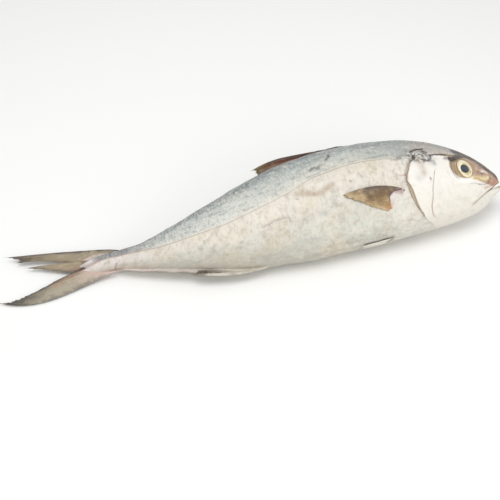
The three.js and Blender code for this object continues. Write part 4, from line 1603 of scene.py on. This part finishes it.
# %% [markdown]
# ## Base of the pectoral fins
# The fin grows from a whitish fleshy lobe behind the gill cover. It could be a bulge of the
# body, but the fin has to come out from under it. A second, thicker and nearly smooth fin
# over the root of the first one gives both the lobe and the overlap.

# %% Base of the pectoral fins
PECTORAL_LOBE = sheet(
    [(129, -5.0, -1.2), (134, -10, -1.2), (140, -15, -1.2), (145, -20, -1.2), (149, -24.5, -1.2)],
    [(132, -4.0, 0.2), (140, -7.5, 0.9), (145.5, -12.5, 1.0), (149, -18, 0.9), (151, -24, 0.0)],
    [(135, -3.6, 0.2), (146, -6.0, 1.2), (151.5, -11, 1.4), (152.5, -17.5, 1.1), (152, -24.3, 0.1)],
)
# The dark mauve at the upper end of its ramp is painted shade; the rest is its whitish and pink flesh.
lobe_material = fin_skin(
    "fleshy_fin_base",
    [(0.0, "#6c5a56"), (0.14, "#a58f8c"), (0.32, "#cfc6c0"), (0.55, "#dcd8d1"), (0.82, "#cdb5a6"),
     (1.0, "#b5755a")],
    root="#d9d4ca", root_reach=0.55, tip="#9b8180", tip_from=0.82,
    share=0.2, streak="#8f7478", inside=0.3,
)
for end, flank in FLANKS:
    fin("pectoral_base_" + end, lobe_material, PECTORAL_LOBE, rays=3, thick=[1.3, 1.3, 0.9],
        seed=5, flank=flank, rings=24, points=96)

# %% [markdown]
# ## Pelvic fins
# The pelvic fins lie back against the belly, so only a dark slit with a pale edge shows. A
# painted line would have no light edge of its own, and a narrow sheet has one. The dark of the
# slit is painted shade: on the upper part of the sheet, and as a stroke on the skin along it.

# %% Pelvic fins
PELVIC = sheet(
    [(148, -48.4, -0.2), (149, -48.8, 0.1), (150, -49.3, -0.2)],
    [(166, -50.3, 0.1), (167, -50.8, 0.5), (168, -51.4, 0.1)],
    [(190, -52.9, 0.0), (190, -53.0, 0.1), (189, -53.1, 0.0)],
)
# The dark first stops of its ramp are painted shade in the slit, and the pale rest is its own edge.
pelvic_material = fin_skin(
    "folded_pelvic_membrane",
    [(0.0, "#4b4439"), (0.4, "#5f5848"), (0.52, "#e9e6dd"), (0.66, "#ddd9cd"), (1.0, "#cfc9ba")],
    root="#a8a08e", root_reach=0.12, tip="#d9d4c8", tip_from=0.85,
    share=0.15,
)
for end, flank in FLANKS:
    fin("pelvic_" + end, pelvic_material, PELVIC, rays=3, thick=[0.5, 0.45, 0.12],
        seed=6, fray=0.06, flank=flank, rings=36, points=96)

# %% [markdown]
# ## Low fins along an edge
# The dorsal and anal fins fold down along the edge of the body when the fish is out of the
# water. Their rays lean far back, so each one reaches over the roots of the next ones. They
# could be drawn point by point like the pectoral fin, but a low strip only needs to follow
# the edge: its root lies a little inside the body and its tip a few millimetres outside.

# %% Low fins along an edge of the body
ROOT_DEPTH = 1.5  # mm that fins of the middle plane start inside the body
EDGE_WAVE, WAVE_STEP = 0.5, 4.7  # mm that the free edge waves sideways, and mm per radian


def low_fin(edge, start, end, heights, lean, outward):
    """Middle sheet of a fin from s = start to s = end along an edge of the body.

    Heights are mm at even steps from start to end, lean is how far its rays lean back, and
    outward is 1 at the back edge and -1 at the belly edge.
    """
    reach = even_curve(heights)

    def shape(u, t):
        s = start + (end - start - lean) * u + lean * t
        top = reach((s - start) / (end - start))
        h = edge(s) + outward * (-ROOT_DEPTH + (top + ROOT_DEPTH) * t)
        lift = EDGE_WAVE * np.sin(s / WAVE_STEP) * t
        return s, h, lift

    return shape


ridge_shape = low_fin(back_edge, 262, 462, [1.5, 2.6, 2.4, 2.2, 2, 1.2, 0.4], lean=9, outward=1)
tips = ridge_shape(np.linspace(0, 1, 5), np.ones(5))
print("height of the rear dorsal strip in mm:", (tips[1] - back_edge(tips[0])).round(1))

# %% [markdown]
# ## Folded fins with free tips
# Only the long front rays of the second dorsal fin and of the anal fin keep free tips. They
# lie bundled along the edge of the body and part from it towards their ends. A low strip
# would hide that gap, so these two have a sheet of their own: the first ray is the longest
# and lies outermost, and the next ones are shorter and lie under it.

# %% Folded fins with free tips
TIP_SPREAD = 9  # mm by which the last tip lies before the first one
TIP_GAP = 3.6  # mm by which the innermost ray parts from its root line
GAP_EARLY, GAP_SHORT = 14, 6  # mm before the last root and before the tips, where it parts
BUNDLE_LIFT = 0.4  # mm that the bundle leans to the upper flank
BUNDLE_WAVE, BUNDLE_TURN = 1.1, 9  # mm sideways, and radians from the first ray to the last


def free_fin(edge, start, rear, end, heights, outward):
    """Middle sheet of a folded fin: the first ray is the longest, and all tips lie free.

    Its roots run from start to rear, and the first tip lies at end.
    """
    reach = even_curve(heights)

    def shape(u, t):
        root = start + (rear - start) * u
        tip = end - TIP_SPREAD * u
        s = root + (tip - root) * t
        top = reach((s - start) / (end - start))
        under = -ROOT_DEPTH + TIP_GAP * smooth_step(s, rear - GAP_EARLY, end - GAP_SHORT)
        rise = smooth_step(t, -0.04, 0.14)
        risen = (under + ROOT_DEPTH + (top - under) * (1 - u)) * rise
        h = edge(s) + outward * (-ROOT_DEPTH + risen)
        lift = (BUNDLE_WAVE * np.sin(u * BUNDLE_TURN) + BUNDLE_LIFT) * rise
        return s, h, lift

    return shape


crest_shape = free_fin(back_edge, 190, 258, 295, [2, 4.8, 7, 9.4, 11.6, 12.6, 11.6], outward=1)
tips = crest_shape(np.linspace(0, 1, 3), np.ones(3))
print("tips of the second dorsal fin end at s =", tips[0])

# %% [markdown]
# ## Dorsal fins
# The first dorsal fin is a low row of short spines. The second begins with the brown bundle
# of long rays and goes on as a low dark ridge nearly to the tail. One sheet for all of them
# would have to change its height too fast, so they are three that overlap.

# %% Dorsal fins
dorsal_material = fin_skin(
    "folded_dorsal_membrane",
    [(0.0, "#3f3532"), (0.2, "#60433a"), (0.45, "#824c2e"), (0.75, "#78502f"), (1.0, "#654730")],
    root="#5a463d", root_reach=0.2, tip="#7a6338", tip_from=0.62,
    share=0.45,
)
ridge_material = fin_skin(
    "low_dorsal_membrane",
    [(0.0, "#55504d"), (0.5, "#5c5957"), (1.0, "#504c4c")],
    root="#6b6d6d", root_reach=0.3, tip="#3d3835", tip_from=0.6,
    share=0.5,
)
spiny_shape = low_fin(back_edge, 148, 212, [0.5, 4.2, 5.4, 6, 6.2, 5.6], lean=12, outward=1)
fin("dorsal_spiny", ridge_material, spiny_shape, rays=7, thick=[1.5, 1.0, 0.4],
    seed=7, fray=0.2, rings=24, points=128)
fin("dorsal_soft", dorsal_material, crest_shape, rays=12, thick=[1.8, 1.3, 0.9, 0.35],
    seed=8, fray=0.1, rings=72)
fin("dorsal_low", ridge_material, ridge_shape, rays=26, thick=[1.5, 1.0, 0.4],
    seed=9, fray=0.3, rings=20, points=384)

# %% [markdown]
# ## Anal fin
# The anal fin mirrors the second dorsal fin under the belly: a bundle of longer rays with
# free tips, pale at the root and dark along its lower edge, and a low part behind it that is
# nearly hidden in a sheath of skin. The sheath is so even with the belly that it could be
# left out, but it gives the lower edge its width, so it is a low fin with skin colours.

# %% Anal fin
anal_material = fin_skin(
    "folded_anal_membrane",
    [(0.0, "#c6bfb2"), (0.28, "#dcd6ca"), (0.42, "#968b7a"), (0.55, "#4f483d"), (0.75, "#5d5548"),
     (1.0, "#8f8576")],
    root="#bdb6a8", root_reach=0.75, tip="#7d7364", tip_from=0.8,
    share=0.3,
)
sheath_material = fin_skin(
    "anal_fin_sheath", [(0.0, "#aea699"), (0.5, "#b9b0a5"), (1.0, "#d6c9c1")],
    root="#bdb5a8", root_reach=0.4, tip="#a59487", tip_from=0.75,
    share=0.18, streak="#94806f",
)
bundle_shape = free_fin(belly_edge, 292, 358, 386, [0.3, 4, 7, 8.6, 8.8, 8.2], outward=-1)
sheath_shape = low_fin(belly_edge, 350, 462, [3.2, 4.8, 5.2, 4.8, 3.6, 1], lean=8, outward=-1)
fin("anal_front", anal_material, bundle_shape, rays=9, thick=[2.0, 1.6, 1.0, 0.4],
    seed=10, fray=0.12, rings=60, points=160)
fin("anal_low", sheath_material, sheath_shape, rays=16, thick=[1.3, 0.9, 0.4],
    seed=11, fray=0.25, rings=20, points=256)

# %% [markdown]
# ## Upper lobe of the tail fin
# The tail fin is deeply forked and lies almost flat. Its upper lobe is torn between two
# bundles of rays, which leaves a long narrow gap. The gap could be cut from one sheet, but
# a cut would have raw edges. Two sheets that start side by side have round ones.

# %% Outer bundle of the upper lobe
TAIL_TOP = sheet(
    [(455, 8.5, 0), (463, 10.5, 0), (473, 8.8, 0), (483, 6, 0), (486, 3, 0)],
    [(494, 22.4, 0), (501, 19.6, 0.4), (507.5, 16.4, 0), (512, 13.4, 0.4), (515, 10.6, 0)],
    [(541, 28.2, 0), (542.5, 25.4, 0.5), (544, 22.4, -0.3), (545, 19.4, 0.4), (546, 17.6, 0)],
    [(593, 32.4, -0.6), (587, 30.4, 0), (579, 26.6, -0.6), (575, 22.8, 0), (573, 20.2, -0.4)],
)
tail_upper_material = fin_skin(
    "upper_tail_membrane",
    [(0.0, "#453d3b"), (0.1, "#5d534d"), (0.24, "#90836d"), (0.6, "#9f9075"), (1.0, "#93846a")],
    root="#c9bbb3", root_reach=0.26, tip="#564b3d", tip_from=0.52,
    share=0.24, streak="#64574a", inside=0.45,
)
fin("tail_top", tail_upper_material, TAIL_TOP, rays=12, thick=[1.6, 1.0, 0.7, 0.3],
    seed=12, fray=0.14, rings=72)

# %% Inner bundle of the upper lobe
TAIL_UPPER = sheet(
    [(487, 7, 0), (489, 5, 0), (491, 3, 0), (492, 1, 0), (492.5, -0.8, 0), (492, -2.5, 0)],
    [(512, 10, -0.4), (514, 7.2, 0), (513, 3.4, -0.5), (508.5, 0, 0), (503.5, -2, 0),
     (500, -3.4, 0)],
    [(539, 11.4, -0.8), (540, 9.0, 0), (534, 5, -0.6), (524, 0.4, 0.2), (513, -3, 0),
     (507, -4.8, 0)],
    [(569, 11.4, -1), (565, 10.6, -0.2), (551, 6.6, -0.8), (538.5, 2, 0), (525, -2.8, 0),
     (515, -6, 0)],
)
tail_inner_material = fin_skin(
    "inner_tail_membrane",
    [(0.0, "#988a70"), (0.4, "#a39377"), (0.75, "#98806a"), (0.9, "#74584a"), (1.0, "#3f2a26")],
    root="#7d6254", root_reach=0.22, tip="#74695a", tip_from=0.66,
    share=0.3, streak="#5e4b3d",
)
fin("tail_upper", tail_inner_material, TAIL_UPPER, rays=14, thick=[1.6, 1.0, 0.7, 0.3],
    seed=13, fray=0.14, rings=60)

# %% [markdown]
# ## Lower lobe of the tail fin
# The lower lobe is whole. It sweeps back and bends down, pale at its root and dark at its
# tips. Its rays could be modelled one by one, but they touch all the way, so ribs and
# valleys on one sheet are enough.

# %% Lower lobe of the tail fin
TAIL_LOWER = sheet(
    [(494, -3.5, 0), (494, -6, 0), (493, -8, 0), (490, -10, 0), (484, -12.5, 0), (474, -16, 0),
     (463, -19, 0), (452, -20.8, 0)],
    [(500, -4.4, 0), (505, -7.6, 0.4), (510, -11.4, 0), (514.5, -15.5, 0.5), (514.5, -19, 0),
     (511, -22.2, 0.4), (505, -25, 0), (498, -27, -0.2)],
    [(505, -5.2, 0), (514.5, -9, 0.4), (524.5, -14.2, -0.4), (536, -21, 0.3), (544, -27.2, -0.3),
     (548, -33, 0.3), (548, -38, 0), (543, -41.2, -0.3)],
    [(508, -5.6, 0), (519, -8.8, -0.4), (531, -13.2, 0), (546, -20.4, -0.5), (561, -26.6, 0),
     (576, -30.8, -0.3), (587, -33, 0), (595, -33.4, 0)],
)
tail_lower_material = fin_skin(
    "lower_tail_membrane",
    [(0.0, "#6b564b"), (0.12, "#8d7463"), (0.35, "#9f866f"), (0.6, "#a89d88"), (0.85, "#a59b86"),
     (1.0, "#80766a")],
    root="#c3ac9f", root_reach=0.36, tip="#4d463d", tip_from=0.5,
    share=0.14, streak="#5e554b",
)
fin("tail_lower", tail_lower_material, TAIL_LOWER, rays=26, thick=[1.7, 1.0, 0.7, 0.3],
    seed=14, fray=0.09, rings=72, points=256)

# %% [markdown]
# ## Gill membranes
# A thin fold of brown skin lines the gill cover and shows as a second edge behind it. It
# could be a coloured line on the shoulder, but it lies under the cover and over the shoulder,
# so it is a narrow sheet that starts hidden and ends in sight.

# %% Gill membranes
LINING_ROOT = 3  # mm that the sheet starts before the cover's edge
LINING_WIDTH = even_curve([-1.2, 1.5, 2.9, 2.4, 1.0, -0.4])  # mm that show behind the cover
LINING_TOP, LINING_LENGTH = 7, 35  # h of its upper end, and how far it runs down
LINING_SUNK, LINING_SLOPE = 0.4, 0.5  # mm under the plain skin at its root, and more at its tip


def gill_lining(u, t):
    """Middle sheet of the gill membrane."""
    h = LINING_TOP - LINING_LENGTH * u
    s = gill_edge(h) - LINING_ROOT + (LINING_ROOT + LINING_WIDTH(u)) * t
    return s, h, -LINING_SUNK - LINING_SLOPE * t


membrane_material = fin_skin(
    "gill_membrane", [(0.0, "#cabba6"), (0.5, "#bda88a"), (1.0, "#d0c4b4")],
    root="#a08c72", root_reach=0.35, tip="#7d6c58", tip_from=0.8,
    share=0.25, streak="#8c7962",
)
for end, flank in FLANKS:
    fin("gill_membrane_" + end, membrane_material, gill_lining, rays=3, thick=[0.5, 0.5, 0.3],
        seed=15, flank=flank, rings=20, points=128)

# %% [markdown]
# ## Camera
# The fish is seen from the belly side, half from above, as one looks at a fish on a kitchen
# table. A camera could be aimed by hand with its gizmos, but three vectors set it exactly:
# where it is, where it looks, and which way is up in the picture.

# %% Camera
LENS_MM = 57.6
SENSOR_MM = 36
CAMERA_AT = Vector((-178.16, -661.72, 657.67)) * MM
LOOK = Vector((0.17178, 0.68846, -0.70463)).normalized()
UP = Vector((0.15023, 0.68859, 0.70942)).normalized()

camera_data = bpy.data.cameras.new("camera")
camera_data.lens = LENS_MM
camera_data.sensor_width = SENSOR_MM
camera = bpy.data.objects.new("camera", camera_data)
bpy.context.scene.collection.objects.link(camera)
right = LOOK.cross(UP).normalized()
turn = Matrix((right, right.cross(LOOK), -LOOK)).transposed().to_4x4()
camera.matrix_world = Matrix.Translation(CAMERA_AT) @ turn
bpy.context.scene.camera = camera
print("camera", round(CAMERA_AT.z, 2), "m above the table, with a", LENS_MM, "mm lens")

# %% [markdown]
# ## Table
# A plain pale table shows the fish without stealing its colours. A curved backdrop would hide
# the horizon, but from this high no horizon is in sight, so one flat square is enough. It is
# much larger than the picture, so its edges never show, and painted matt, so it doesn't
# mirror the lamps.

# %% Table
FLOOR_HALF = 4  # m
floor_material = bpy.data.materials.new("matt_white_table")
floor_material.use_nodes = True
floor_shader = floor_material.node_tree.nodes["Principled BSDF"]
floor_shader.inputs["Base Color"].default_value = linear("#f3f3f1")
floor_shader.inputs["Roughness"].default_value = 0.7
bm = bmesh.new()
bmesh.ops.create_grid(bm, x_segments=1, y_segments=1, size=FLOOR_HALF)
floor_mesh = bpy.data.meshes.new("floor")
bm.to_mesh(floor_mesh)
bm.free()
floor_mesh.materials.append(floor_material)
floor = bpy.data.objects.new("floor", floor_mesh)
bpy.context.scene.collection.objects.link(floor)
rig.stage(floor)
print("table", 2 * FLOOR_HALF, "m wide")

# %% [markdown]
# ## Light
# Wet skin shows every lamp as a highlight. A single bare lamp would burn small white spots
# into it, so most of the light is a white room that shines from all round. A wide softbox
# overhead gives the fish its gentle shadow, and a weaker one in front lifts the belly.

# %% Room light
ROOM_STRENGTH = 0.72
world = bpy.data.worlds.new("soft_white_room")
world.use_nodes = True
background = world.node_tree.nodes["Background"]
background.inputs["Color"].default_value = linear("#ffffff")
background.inputs["Strength"].default_value = ROOM_STRENGTH
bpy.context.scene.world = world
bpy.context.scene.view_settings.view_transform = "Standard"
print("room light:", ROOM_STRENGTH)

# %% Softboxes
# Name, place in metres, size in metres and power in watts.
SOFTBOXES = [
    ("overhead_softbox", (-0.1, -0.1, 1.3), 1.0, 7),
    ("front_softbox", (0.6, -1.0, 0.45), 0.8, 3.8),
]
for name, spot, size, power in SOFTBOXES:
    lamp_data = bpy.data.lights.new(name, "AREA")
    lamp_data.shape = "DISK"
    lamp_data.size = size
    lamp_data.energy = power
    lamp = bpy.data.objects.new(name, lamp_data)
    bpy.context.scene.collection.objects.link(lamp)
    lamp.location = spot
    lamp.rotation_euler = (-lamp.location).to_track_quat("-Z", "Y").to_euler()
    print(f"{name}: {power} W")

# %% [markdown]
# ## Measure the fish
# The finished fish has to fill the same box as its CAD solid. Both boxes are written down
# side by side, so that anyone can compare them.

# %% Measure and finish
visual_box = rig.bounds()
boxes = {"cad": [list(p) for p in cad_box], "visual": [list(p) for p in visual_box]}
with open("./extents.json", "w") as size_file:
    json.dump(boxes, size_file)
print("visual box in mm:", [[round(1000 * c, 1) for c in corner] for corner in visual_box])
